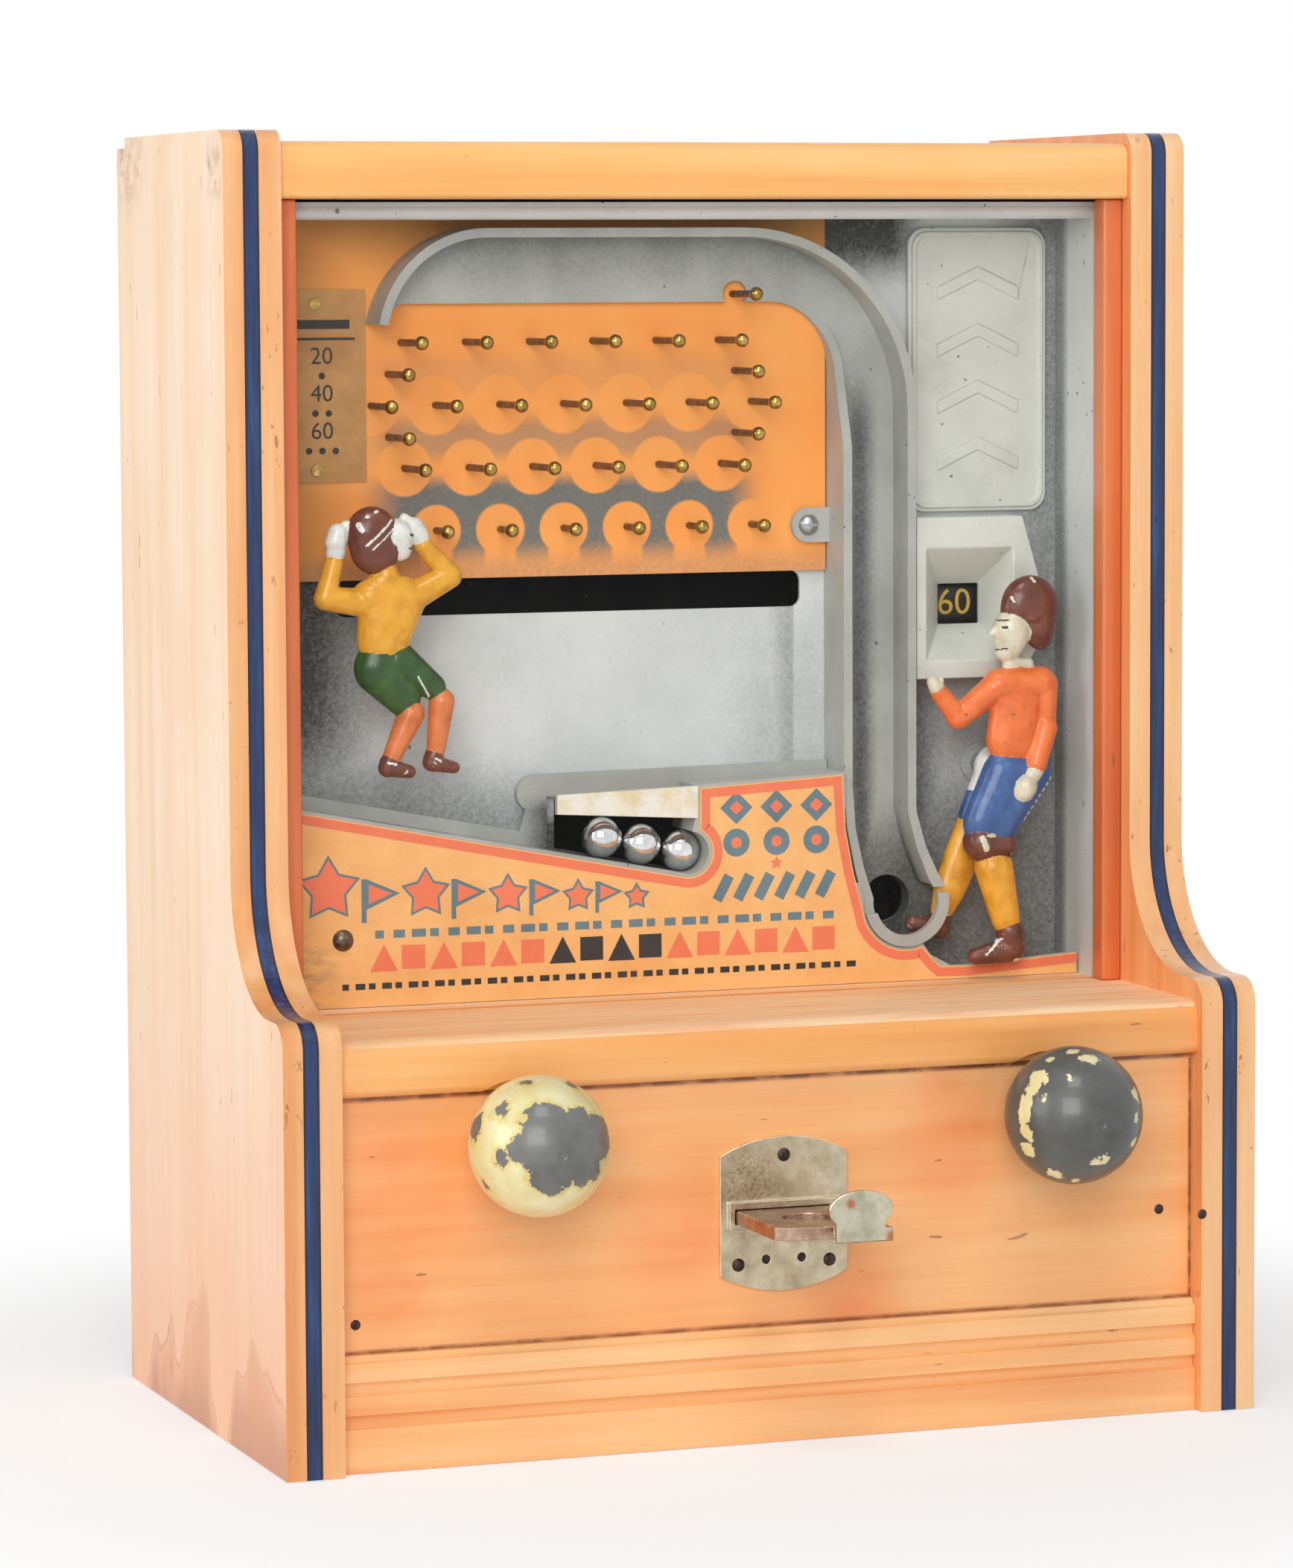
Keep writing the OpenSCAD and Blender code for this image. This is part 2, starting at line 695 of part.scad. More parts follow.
module instruction_card() {
    m = 1.4;
    c = [ball_d[0], ball_h(ball_d[0])];
    color("#fbc272") difference() {
        ybox(cast_y - card_t, cast_y) difference() {
            polygon(concat(
                [[cast_l + 1, ledge_z + 0.3], [cast_l + 1, ramp(cast_l) - m]],
                arc(c, seat_r + m, -90 - ramp_a, 62, 14),
                [[5, up(66)], [5, up(78)], [track_x - 1.5, up(81.2)], [track_x - 1.5, low_z],
                [track_x - 0.5, cup_z + 29], [track_x + 2.8, cup_z + 12], [cup_x - 18, cup_z - 4]],
                arc(cup_c, cup_o + 1.2, 202, 290, 12),
                [[cup_x + 11, up(8)], [cup_x + 14, up(5.3)], [cup_x + 25, up(5)], [cast_r - 0.5, up(8.2)],
                [cast_r - 0.5, up(0.3)]]));
        }
        yrod(card_screw[0], card_screw[1], cast_y - 2, cast_y + 1, 1.6);
    }
}

module ball_shield() {
    color("#e8cf7c") ybox(cast_y - card_t, cast_y)
        polygon([[-52.5, up(70)], [4, up(66.6)], [4, up(78.8)], [-52.5, up(77.2)]]);
}

card_x1 = pin_x - 14;
card_x0 = max(-x_tray + 2, card_x1 - card_w);
card_z0 = tray_z1 - 104;
nail_x = (card_x0 + card_x1) / 2;
nail_z = [card_z0 + 4.5, card_z0 + card_h - 5.5];

module score_card() {
    color("#d8a35f") difference() {
        block([card_x0, board_y - card_t, card_z0], [card_x1, board_y, card_z0 + card_h]);
        for (z = nail_z) yrod(nail_x, z, board_y - 2, board_y + 1, 0.8);
    }
}

module card_nails() {
    color("#8a6f3a") for (z = nail_z) {
        yrod(nail_x, z, board_y - card_t, field_y, 0.8);
        yrod(nail_x, z, board_y - card_t - 0.8, board_y - card_t, 2);
    }
}

// Round head screw whose seat is at y
module round_screw(x, z, y, len) {
    yrod(x, z, y, y + len, 1.6);
    difference() {
        intersection() {
            translate([x, y + 2, z]) sphere(r = 4.6);
            yrod(x, z, y - 3, y, 4.1);
        }
        block([x - 5, y - 4, z - 0.5], [x + 5, y - 1.6, z + 0.5]);
    }
}

module playfield_screws() {
    color("#8c8a80") {
        round_screw(ear_c[0], ear_c[1], board_y - track_floor, track_floor + board_t);
        round_screw(card_screw[0], card_screw[1], cast_y - card_t, 12);
    }
}

plate_x0 = track_r + plate_gap;
plate_w = x_tray - plate_edge - plate_x0;
plate_z0 = tray_z1 - plate_down - plate_h;

module name_plate() {
    x1 = plate_x0 + plate_w;
    z1 = plate_z0 + plate_h;
    color("#b4b8b3") {
        ybox(field_y - plate_t, field_y) round_rect(plate_x0, plate_z0, x1, z1, 7);
        ybox(field_y - plate_t - 1, field_y - plate_t) difference() {
            round_rect(plate_x0 + 1.5, plate_z0 + 1.5, x1 - 1.5, z1 - 1.5, 6);
            round_rect(plate_x0 + 3.5, plate_z0 + 3.5, x1 - 3.5, z1 - 3.5, 4.5);
        }
        for (k = [0:3]) ybox(field_y - plate_t - 1, field_y - plate_t)
            translate([plate_x0 + plate_w / 2, plate_z0 + plate_h * (0.2 + 0.2 * k)])
                polygon([[-17, -6], [0, 2], [17, -6], [17, -1], [0, 7], [-17, -1]]);
    }
}

module score_bezel() {
    b_y = field_y - 18;
    color("#b4b8b3") difference() {
        ybox(b_y, field_y) polygon([[track_r + 1.5, win_z + 34.5], [win_x + 20, win_z + 34.5],
            [win_x + 27, win_z + 10.5], [win_x + 27, win_z - 16], [win_x + 19, win_z - 28],
            [track_r + 1.5, win_z - 28]]);
        hull() {
            block([win_x - 20.5, b_y - 0.1, win_z - 21], [win_x + 16, b_y, win_z + 22.5]);
            block([win_x - 8.2, field_y, win_z - 7.5], [win_x + 8.4, field_y + 0.1, win_z + 7.5]);
        }
    }
}

fig_y0 = tray_y0 + 1.2;
fig_y1 = min(board_y - low_pin_len - head_r - 0.6, track_y - 0.4);
fig_y = (fig_y0 + fig_y1) / 2;

// Point of a figure at x, z
function at(x, z, y = fig_y) = [x, y, z];

module kicker_figure() {
    y1 = cast_y + 1.6;
    x = hip_x;
    z = hip_z;
    color("#f47a35") {
        intersection() {
            union() {
                translate(at(x + 11, z + 61, fig_y0 + 12)) sphere(r = 12, $fn = 24);
                translate(at(x + 2.5, z + 53, fig_y0 + 8)) sphere(r = 8, $fn = 20);
                limb(at(x + 5, z + 47), at(x + 5, z + 40), 6, 7);
                limb(at(x + 4, z + 34), at(x + 1, z + 13), 10.5, 11);
                limb(at(x - 5, z + 31), at(x + 16, z + 32), 6.6, 7);
                limb(at(x - 6, z + 29), at(x - 22, z + 17), 5.5, 4.8);
                limb(at(x - 22, z + 17), at(x - 32, z + 32), 4.5, 3.8);
                limb(at(x + 18, z + 30), at(x + 20, z + 11), 6, 5.4);
                limb(at(x + 20, z + 11), at(x + 9, z - 7), 5.1, 4.4);
                translate(at(x + 6, z - 11)) sphere(r = 5, $fn = 16);
                limb(at(x + 1, z + 6), at(x - 8, z - 20), 11.5, 9.6);
                limb(at(x + 9, z + 2), at(x - 3, z - 21), 9.7, 8.8);
                translate(at(x - 8, z - 31)) sphere(r = 9.4, $fn = 20);
                limb(at(x - 5, z - 35), at(x - 2, z - 57), 7.3, 6.2);
            }
            block([x - 60, fig_y0, z - 64], [x + 60, y1, z + 80]);
        }
        intersection() {
            union() {
                limb(at(x - 1, z - 58), at(x, z - 66), 6, 6.2);
                limb(at(x, z - 66), at(x - 13, z - 70.5), 6, 4.8);
            }
            block([x - 30, fig_y0, z - 77], [x + 20, cast_y - card_t - 0.4, z - 50]);
        }
        yrod(x + 15, z + 3, y1 - 1, field_y, 4);
    }
}

module carriage_rods() {
    color("#c4c8cc") for (s = [-1, 1])
        xrod(block_l, block_r + 10, rod_y, stem_z + s * rod_gap / 2, rod_r);
}

module rod_blocks() {
    color("#8f9396") for (x = [block_l, block_r]) difference() {
        block([x, field_back, stem_z - rod_gap / 2 - 9], [x + 8, rod_y + 7, stem_z + rod_gap / 2 + 9]);
        for (s = [-1, 1]) xrod(x - 1, x + 11, rod_y, stem_z + s * rod_gap / 2, rod_r);
    }
}

module catcher_bracket() {
    color("#8f9396") difference() {
        union() {
            block([knob_l - 22, brk_y0, floor_top], [lever_x + 20, brk_y1, ledge_z0 - 1]);
            block([knob_l - 22, brk_y0, floor_top], [lever_x + 20, brk_y1 + 20, floor_top + 3]);
            yrod(lever_x, knob_z, brk_y0, arm_y1 + 1, 5);
        }
        yrod(knob_l, knob_z, brk_y0 - 1, brk_y1 + 1, shaft_r + run_gap);
    }
}

module kick_bracket() {
    color("#8f9396") difference() {
        union() {
            block([knob_r - 22, brk_y0, floor_top], [knob_r + 22, brk_y1, ledge_z0 - 1]);
            block([knob_r - 22, brk_y0, floor_top], [knob_r + 30, spring_y + 8, floor_top + 3]);
            translate([crank_tip[0], spring_y, floor_top]) {
                cylinder(r = 2.6, h = spring_z0 - floor_top + 6);
                cylinder(r = 5.4, h = spring_z0 - floor_top);
            }
        }
        yrod(knob_r, knob_z, brk_y0 - 1, brk_y1 + 1, shaft_r + run_gap);
    }
}

module leg_bearing() {
    color("#8f9396") difference() {
        union() {
            yrod(hip_x, hip_z, field_back, field_back + 3, 14);
            yrod(hip_x, hip_z, field_back, arm_y0 - 1, 8);
        }
        yrod(hip_x, hip_z, field_back - 1, arm_y0, shaft_r - 0.75 + run_gap);
    }
}

module knob_bushes() {
    color("#a88b45") for (x = [knob_l, knob_r]) difference() {
        union() {
            yrod(x, knob_z, front_y0, front_y1 + 3, bush_r);
            yrod(x, knob_z, front_y1, front_y1 + 3, bush_r + 4);
        }
        yrod(x, knob_z, front_y0 - 1, front_y1 + 4, shaft_r + run_gap);
    }
}

rivet_at = [[coin_x, coin_z + coin_h / 2 - 7], [coin_x - 18, coin_z - coin_h / 2 + 10.5],
    [coin_x + 18, coin_z - coin_h / 2 + 10.5]];

module coin_plate() {
    b = coin_w / 2;
    h = coin_h / 2;
    g = 6.5;
    r = (b * b + g * g) / (2 * g);
    a = asin(b / r);
    s = slide_w / 2 + slide_gap;
    t = slide_t / 2 + slide_gap;
    color("#a79b80") translate([coin_x, 0, coin_z]) difference() {
        union() {
            ybox(front_y0 - coin_t, front_y0) polygon(concat(
                arc([0, h - r], r, 90 - a, 90 + a, 16), arc([0, r - h], r, 270 - a, 270 + a, 16)));
            ybox(front_y0 - coin_t - 3, front_y0 - coin_t)
                translate([-s - 2, -t - 2]) square([2 * s + 4, 2 * t + 4.5]);
        }
        block([-s, front_y0 - 20, -t], [s, front_y0 + 1, t]);
        for (x = [-7, 7]) yrod(x, 12 - h, front_y0 - 20, front_y0 + 1, 1.7);
        for (p = rivet_at) yrod(p[0] - coin_x, p[1] - coin_z, front_y0 - 20, front_y0 + 1, 1.6);
    }
}

module coin_plate_rivets() {
    color("#4a3b38") for (p = rivet_at) {
        yrod(p[0], p[1], front_y0 - coin_t, front_y0 + 8, 1.6);
        intersection() {
            translate([p[0], front_y0 - coin_t + 1.6, p[1]]) sphere(r = 2.9);
            yrod(p[0], p[1], front_y0 - coin_t - 3, front_y0 - coin_t, 2.8);
        }
    }
}

module coin_slide_housing() {
    s = slide_w / 2 + slide_gap;
    t = slide_t / 2 + slide_gap;
    color("#8f9396") translate([coin_x, 0, coin_z]) difference() {
        union() {
            block([-s - 4, front_y1, -house_h / 2], [s + 4, house_y1, house_h / 2]);
            block([-s - 14, front_y1, -house_h / 2], [s + 14, front_y1 + 2, house_h / 2]);
        }
        block([-s, front_y1 - 1, -t], [s, house_y1 + 1, t]);
        translate([0, front_y0 - 27 + slide_run, -house_h]) cylinder(r = coin_r + 1, h = house_h);
    }
}

module coin_box() {
    color("#6f7476") difference() {
        block([coin_x - 42, front_y1, floor_top], [coin_x + 42, front_y1 + 80, floor_top + 44]);
        block([coin_x - 40.5, front_y1 + 1.5, floor_top + 1.5],
            [coin_x + 40.5, front_y1 + 78.5, floor_top + 50]);
    }
}

module ball_return_chute() {
    z0 = hole_c[1] - hole_r;
    g = tan(6);
    e = -52;
    l = e - hole_c[0];
    y1 = field_back + 2 * ball_r + 1.2;
    x0 = track_r + 4;
    x1 = x0 + 1.5;
    d = 12 * g;
    color("#8f9396") {
        ybox(field_back, y1 + 1.5) polygon([[e, z0 - 2 - l * g], [x0, z0 - 2 - d], [x1, z0 - 2 - d],
            [x1, z0 - d], [x0, z0 - d], [e, z0 - l * g]]);
        ybox(y1, y1 + 1.5) polygon([[e, z0 - 2 - l * g], [x0, z0 - 2 - d], [x1, z0 - 2 - d],
            [x1, z0 + 18], [x0, z0 + 18], [e, z0 + 18 - l * g]]);
        block([x0, field_back, z0 - 2 - d], [x1, y1 + 1.5, z0 + 18]);
    }
}

module score_bracket() {
    color("#8f9396") for (s = [-1, 1]) translate([win_x + s * (drum_w / 2 + 9), 0, 0]) difference() {
        union() {
            block([-1, field_back, win_z - 14], [1, drum_y + 12, win_z + 14]);
            block([s > 0 ? -1 : -11, field_back, win_z - 14], [s > 0 ? 6 : 1, field_back + 2, win_z + 14]);
        }
        xrod(-2, 2, drum_y, win_z, 3 + run_gap);
    }
}

module score_detent() {
    x = win_x + drum_w / 2 + 2;
    color("#c4c8cc") {
        block([x, field_back, win_z + 20.6], [x + 4, field_back + 3, win_z + 32]);
        block([x, field_back, win_z + 19.6], [x + 4, drum_y + 3, win_z + 20.6]);
        block([x, drum_y, win_z + 17.4], [x + 4, drum_y + 3, win_z + 20.6]);
    }
}

// Steel tube along a helix about Z
spring_rad = 4;
wire_r = 0.6;
curls = 16;
crank_tip = [knob_r + kick_r * cos(kick_a), knob_z + kick_r * sin(kick_a)];
spring_y = pin_end + spring_rad + 1.6;
spring_z0 = floor_top + 16;
spring_z1 = crank_tip[1] - crank_rod - 0.3;
function coil_pt(t) = [crank_tip[0] + spring_rad * cos(360 * t), spring_y + spring_rad * sin(360 * t),
    spring_z0 + wire_r + (spring_z1 - spring_z0 - 2 * wire_r) * t / curls];
coil = [for (i = [0:8 * curls]) coil_pt(i / 8)];
coil_gap = min([for (i = [0:len(coil) - 13], j = [i + 5:min(i + 12, len(coil) - 1)])
    norm(coil[i] - coil[j])]) - 2 * wire_r;
echo(least_coil_gap = coil_gap);

module kick_spring() {
    n = len(coil);
    pts = [for (i = [0:n - 1], k = [0:5])
        let (a = 360 * i / 8, u = [cos(a), sin(a), 0])
        coil[i] + wire_r * (cos(60 * k) * u + sin(60 * k) * [0, 0, 1])];
    faces = concat(
        [for (i = [0:n - 2], k = [0:5]) [6 * i + k, 6 * i + (k + 1) % 6, 6 * i + 6 + k]],
        [for (i = [0:n - 2], k = [0:5]) [6 * i + (k + 1) % 6, 6 * i + 6 + (k + 1) % 6, 6 * i + 6 + k]],
        [[5, 4, 3, 2, 1, 0]], [[for (k = [0:5]) 6 * (n - 1) + k]]);
    color("#c4c8cc") polyhedron(points = pts, faces = faces);
}

// One half of a butt hinge: s is the side of the leaf
module hinge_leaf(z, s) {
    difference() {
        union() {
            block([s > 0 ? door_gap + 1.2 : -24, 0, z - 20], [s > 0 ? 24 : -1.2, 2, z + 20]);
            if (s > 0) translate([0, knuckle_r, z - 7]) cylinder(r = knuckle_r, h = 14);
            if (s > 0) block([0, 0, z - 7], [4, 2, z + 7]);
            if (s < 0) for (k = [-20, 7.3]) {
                translate([0, knuckle_r, z + k]) cylinder(r = knuckle_r, h = 12.7);
                block([-4, 0, z + k], [0, 2, z + k + 12.7]);
            }
        }
        if (s > 0) translate([0, knuckle_r, z - 21]) cylinder(r = 1.6 + run_gap, h = 42);
        if (s > 0) for (k = [-21, 7]) block([-5, -1, z + k], [knuckle_r + 1.5, 3, z + k + 14]);
        if (s < 0) block([-knuckle_r - 1.5, -1, z - 7.3], [5, 3, z + 7.3]);
        for (dz = [-12, 12]) yrod(s * 13, z + dz, -1, 3, 1.5);
    }
    if (s < 0) translate([0, knuckle_r, z - 19]) cylinder(r = 1.6, h = 38);
    for (dz = [-12, 12]) {
        yrod(s * 13, z + dz, -8, 2, 1.5);
        yrod(s * 13, z + dz, 2, 3, 3);
    }
}

module hinge_fixed_leaves() {
    color("#a88b45") translate([hinge_x, y_back, 0]) for (z = hinge_at) hinge_leaf(z, -1);
}

module hinge_door_leaves() {
    color("#a88b45") translate([hinge_x, y_back, 0]) for (z = hinge_at) hinge_leaf(z, 1);
}

module back_screws() {
    color("#8c8a80") for (x = [-1, 1], z = screw_z) {
        yrod(x * (cab_w / 2 - side_t / 2), z, side_back - 20, y_back - 1, 2);
        difference() {
            yrod(x * (cab_w / 2 - side_t / 2), z, y_back - 1.2, y_back + 0.4, 4);
            block([x * (cab_w / 2 - side_t / 2) - 5, y_back - 0.4, z - 0.5],
                [x * (cab_w / 2 - side_t / 2) + 5, y_back + 1, z + 0.5]);
        }
    }
}

module knob(x) {
    translate([x, knob_y, knob_z]) rotate([90, 0, 0]) rotate_extrude() difference() {
        union() {
            translate([0, knob_out]) circle(r = knob_rad);
            square([collar_r, knob_out]);
        }
        translate([-60, -60]) square([60, 160]);
        translate([0, -1]) square([shaft_r, shaft_in + 1]);
    }
}

module catcher_knob() {
    color("#e5dd9f") knob(knob_l);
}

module kick_knob() {
    color("#6b6b68") knob(knob_r);
}

// Knob shaft with its crank: r is the crank's radius, a its direction
module crank_shaft(x, r, a, tip) {
    yrod(x, knob_z, knob_y - shaft_in, arm_y1 + 1, shaft_r);
    translate([x, 0, knob_z]) {
        ybox(arm_y0, arm_y1) rotate(a) arm(r, 9, 6);
        yrod(r * cos(a), r * sin(a), arm_y0, tip, crank_rod);
    }
}

module catcher_shaft() {
    color("#c4c8cc") crank_shaft(knob_l, crank_r, 270 + lever_a, pin_end);
}

module kick_shaft() {
    color("#c4c8cc") crank_shaft(knob_r, kick_r, kick_a, spring_y + spring_rad + 2);
}

// Tie bar between two crank pins: a close hole at the origin, a wide one at the other end
module tie_bar(len, a) {
    ybox(link_y0, link_y1) rotate(a) difference() {
        arm(len, 6.5, 6.5);
        circle(r = crank_rod + run_gap);
        translate([len, 0]) circle(r = crank_rod + slide_gap);
    }
}

module catcher_link() {
    color("#c4c8cc") translate([knob_l + crank_r * cos(270 + lever_a), 0, knob_z + crank_r * sin(270 + lever_a)])
        tie_bar(lever_x - knob_l, 0);
}

module kick_link() {
    color("#c4c8cc") translate([crank_tip[0], 0, crank_tip[1]]) tie_bar(kick_len, kick_dir);
}

module catcher_lever() {
    reach = catch_run / 2 / sin(lever_a);
    bar = 4.7;
    color("#c4c8cc") translate([lever_x, 0, knob_z]) difference() {
        union() {
            ybox(arm_y0, arm_y1) {
                rotate(90 + lever_a) arm(reach + 9, 9, 8.4);
                rotate(270 + lever_a) arm(crank_r, 8, 6);
            }
            yrod(0, 0, brk_y1 + 0.3, arm_y1, 11.5);
            yrod(crank_r * cos(270 + lever_a), crank_r * sin(270 + lever_a), arm_y0, pin_end, crank_rod);
        }
        yrod(0, 0, brk_y1, arm_y1 + 1, 5 + run_gap);
        rotate([0, -90 - lever_a, 0]) translate([arm_l - 4, 0, -bar])
            block([0, arm_y0 - 1, 0], [reach - arm_l + 9, arm_y1 + 1, 2 * bar]);
    }
}

module catcher_figure() {
    x = catch_x;
    z = stem_z;
    color("#e2a52c") translate([x, fig_y1, z]) scale(catch_k) translate([-x, -fig_y1, -z]) intersection() {
        union() {
            translate(at(x - 3, z + 23, fig_y0 + 10.5)) sphere(r = 10.5, $fn = 24);
            translate(at(x + 7, z + 23.5)) sphere(r = 6.8, $fn = 20);
            translate(at(x - 18, z + 25)) sphere(r = 4.6, $fn = 16);
            translate(at(x + 17, z + 26.5)) sphere(r = 4.6, $fn = 16);
            limb(at(x - 18, z + 21), at(x - 23, z + 5), 3.8, 4.4);
            limb(at(x + 17.5, z + 23), at(x + 28, z + 10), 3.8, 4.4);
            limb(at(x - 23, z + 5), at(x - 8, z - 2), 4.7, 5.2);
            limb(at(x + 28, z + 10), at(x + 10, z - 1), 4.7, 5.2);
            limb(at(x + 1, z + 4), at(x + 1, z - 15), 9.6, 10.6);
            limb(at(x + 1.5, z - 19), at(x + 11, z - 35), 10.2, 7.2);
            limb(at(x + 5, z - 18), at(x + 20, z - 32), 8.4, 6.2);
            limb(at(x + 10, z - 38), at(x + 4, z - 56), 5.2, 4);
            limb(at(x + 22, z - 35), at(x + 22, z - 55), 5.2, 4);
            limb(at(x + 4, z - 60.5), at(x + 10.5, z - 61.5), 4.2, 3.7);
            limb(at(x + 20, z - 59), at(x + 27, z - 60.5), 4.2, 3.7);
        }
        block([x - 60, fig_y0, z - 100], [x + 60, fig_y1, z + 60]);
    }
}

module catcher_carriage() {
    x = catch_x;
    color("#8f9396") difference() {
        union() {
            block([x - 14, car_y0, stem_z - rod_gap / 2 - 8], [x + 14, car_y1, stem_z + rod_gap / 2 + 8]);
            block([x - 4, fig_y1, stem_z - 5], [x + 4, car_y0 + 1, stem_z + 3]);
            yrod(x, stem_z, car_y1 - 1, arm_y1 + 1.5, 2.5);
        }
        for (s = [-1, 1]) xrod(x - 15, x + 15, rod_y, stem_z + s * rod_gap / 2, rod_r + run_gap);
    }
}

leg_y0 = cast_y + 2.6;
leg_y1 = leg_y0 + 9.5;
leg_y = leg_y0 + 4.6;

module kicker_leg() {
    x = hip_x;
    z = hip_z;
    color("#f0b02c") intersection() {
        union() {
            yrod(x, z, leg_y0 - 1, leg_y1, 8.5);
            limb(at(x, z, leg_y), at(x - 14, z - 29, leg_y), 7, 6);
            limb(at(x - 14, z - 29, leg_y), at(x - 21, z - 56, leg_y), 5.8, 4.6);
            limb(at(x - 22, z - 62, leg_y), at(x - 36, z - 60.5, leg_y), 4.6, 3.7);
        }
        block([x - 60, leg_y0, z - 90], [x + 30, leg_y1, z + 30]);
    }
}

module leg_shaft() {
    color("#c4c8cc") {
        yrod(hip_x, hip_z, leg_y1, arm_y1 + 1, shaft_r - 0.75);
        translate([hip_x, 0, hip_z]) {
            ybox(arm_y0, arm_y1) rotate(kick_a) arm(kick_r, 9, 6);
            yrod(kick_r * cos(kick_a), kick_r * sin(kick_a), arm_y0, pin_end, crank_rod);
        }
    }
}

module coin_slide() {
    b = slide_w / 2;
    color("#b08f78") translate([coin_x, 0, slide_z0]) difference() {
        union() {
            linear_extrude(slide_t) polygon([[-b, slide_in], [-b, front_y0 - 44], [-b + 4, front_y0 - 48],
                [1, front_y0 - 50], [3, tab_y], [b, tab_y], [b, slide_in]]);
            translate([0, 0, slide_t]) ybox(tab_y, tab_y + 2) {
                translate([b - tab_w / 2, tab_h / 2]) scale([tab_w / tab_h, 1]) circle(d = tab_h);
                translate([b - tab_w + 3, -slide_t]) square([tab_w - 6, tab_h / 2 + slide_t]);
            }
        }
        translate([0, front_y0 - 27, -1]) cylinder(r = coin_r, h = slide_t + 2);
    }
}

module steel_balls() {
    color("#d6d8da") for (x = ball_d) translate([x, ball_y, ball_h(x)]) sphere(r = ball_r);
}

module score_drum() {
    color("#26231f") {
        difference() {
            xrod(win_x - drum_w / 2, win_x + drum_w / 2, drum_y, win_z, drum_r);
            for (s = [-1, 1]) xrod(win_x + s * (drum_w / 2 - 3) - 3.5, win_x + s * (drum_w / 2 - 3) + 3.5,
                drum_y, win_z, drum_r - 3);
        }
        xrod(win_x - drum_w / 2 - 13, win_x + drum_w / 2 + 13, drum_y, win_z, 3);
        translate([0, drum_y, win_z]) xbox(win_x + drum_w / 2 + 2, win_x + drum_w / 2 + 6) polygon(
            [for (i = [0:9]) for (k = [0, 1]) (k == 0 ? 17 : 13.5) * [cos(36 * i + 6 * k), sin(36 * i + 6 * k)]]);
        xrod(win_x, win_x + drum_w / 2 + 6, drum_y, win_z, 6);
    }
}

module rear_door() {
    color("#e8a877") difference() {
        block([-door_w / 2 + door_gap, side_back, door_z + door_gap],
            [door_w / 2 - door_gap, y_back, door_z + door_h - door_gap]);
        yrod(lock_x, lock_z, side_back - 1, y_back + 1, 8);
        for (z = hinge_at) leaf_holes(hinge_x, 1, z);
    }
}

module door_lock() {
    color("#a88b45") difference() {
        union() {
            yrod(lock_x, lock_z, side_back - 1.5, y_back + 2, 8);
            yrod(lock_x, lock_z, y_back, y_back + 2, 11);
        }
        yrod(lock_x, lock_z, side_back - 3, y_back + 3, 4 + run_gap);
    }
}

module lock_cam() {
    color("#c4c8cc") translate([lock_x, 0, lock_z]) difference() {
        union() {
            yrod(0, 0, side_back - 4.5, y_back + 2, 4);
            ybox(side_back - 4.5, side_back - 1.8) rotate(270) arm(30, 7, 5);
        }
        block([-0.8, y_back - 2, -3], [0.8, y_back + 3, 3]);
    }
}

left_side_panel();
right_side_panel();
edge_inlays();
top_rail();
top_panel();
base_ledge();
front_panel();
base_moulding();
bottom_board();
back_board();
glass_stops();
front_glass();
tray_battens();
playfield_tray();
pin_board();
scoring_pins();
ball_track();
lower_casting();
instruction_card();
ball_shield();
score_card();
card_nails();
playfield_screws();
name_plate();
score_bezel();
kicker_figure();
carriage_rods();
rod_blocks();
catcher_bracket();
kick_bracket();
leg_bearing();
knob_bushes();
coin_plate();
coin_plate_rivets();
coin_slide_housing();
coin_box();
ball_return_chute();
score_bracket();
score_detent();
kick_spring();
hinge_fixed_leaves();
back_screws();
catcher_knob();
catcher_shaft();
catcher_link();
catcher_lever();
catcher_figure();
catcher_carriage();
kick_knob();
kick_shaft();
kick_link();
kicker_leg();
leg_shaft();
coin_slide();
steel_balls();
score_drum();
rear_door();
hinge_door_leaves();
door_lock();
lock_cam();
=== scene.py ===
"""Looks of a countertop ball-kick game: varnished maple cabinet, airbrushed playfield, painted cast figures."""
import functools
import json
import math
import bmesh
import bpy
import numpy as np
from mathutils import Matrix, Vector

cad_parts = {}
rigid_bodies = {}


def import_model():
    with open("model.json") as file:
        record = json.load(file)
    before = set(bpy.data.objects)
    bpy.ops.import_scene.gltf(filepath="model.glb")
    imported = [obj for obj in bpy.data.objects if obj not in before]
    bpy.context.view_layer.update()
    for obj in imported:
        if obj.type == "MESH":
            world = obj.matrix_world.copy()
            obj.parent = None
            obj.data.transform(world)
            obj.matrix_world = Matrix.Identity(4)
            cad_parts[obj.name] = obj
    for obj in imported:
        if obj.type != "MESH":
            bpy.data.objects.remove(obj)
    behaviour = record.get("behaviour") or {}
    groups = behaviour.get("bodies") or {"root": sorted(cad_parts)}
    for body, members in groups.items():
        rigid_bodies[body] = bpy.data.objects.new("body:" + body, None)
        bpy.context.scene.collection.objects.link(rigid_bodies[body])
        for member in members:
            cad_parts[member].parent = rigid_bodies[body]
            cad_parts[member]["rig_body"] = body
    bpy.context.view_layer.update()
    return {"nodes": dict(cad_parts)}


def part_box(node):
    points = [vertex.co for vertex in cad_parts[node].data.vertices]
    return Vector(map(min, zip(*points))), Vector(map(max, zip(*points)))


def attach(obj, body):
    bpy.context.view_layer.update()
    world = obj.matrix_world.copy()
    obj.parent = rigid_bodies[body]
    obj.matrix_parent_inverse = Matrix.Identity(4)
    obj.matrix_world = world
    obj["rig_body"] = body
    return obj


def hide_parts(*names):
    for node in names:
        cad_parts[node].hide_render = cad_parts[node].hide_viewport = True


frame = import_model()
nodes = frame["nodes"]
scene = bpy.context.scene
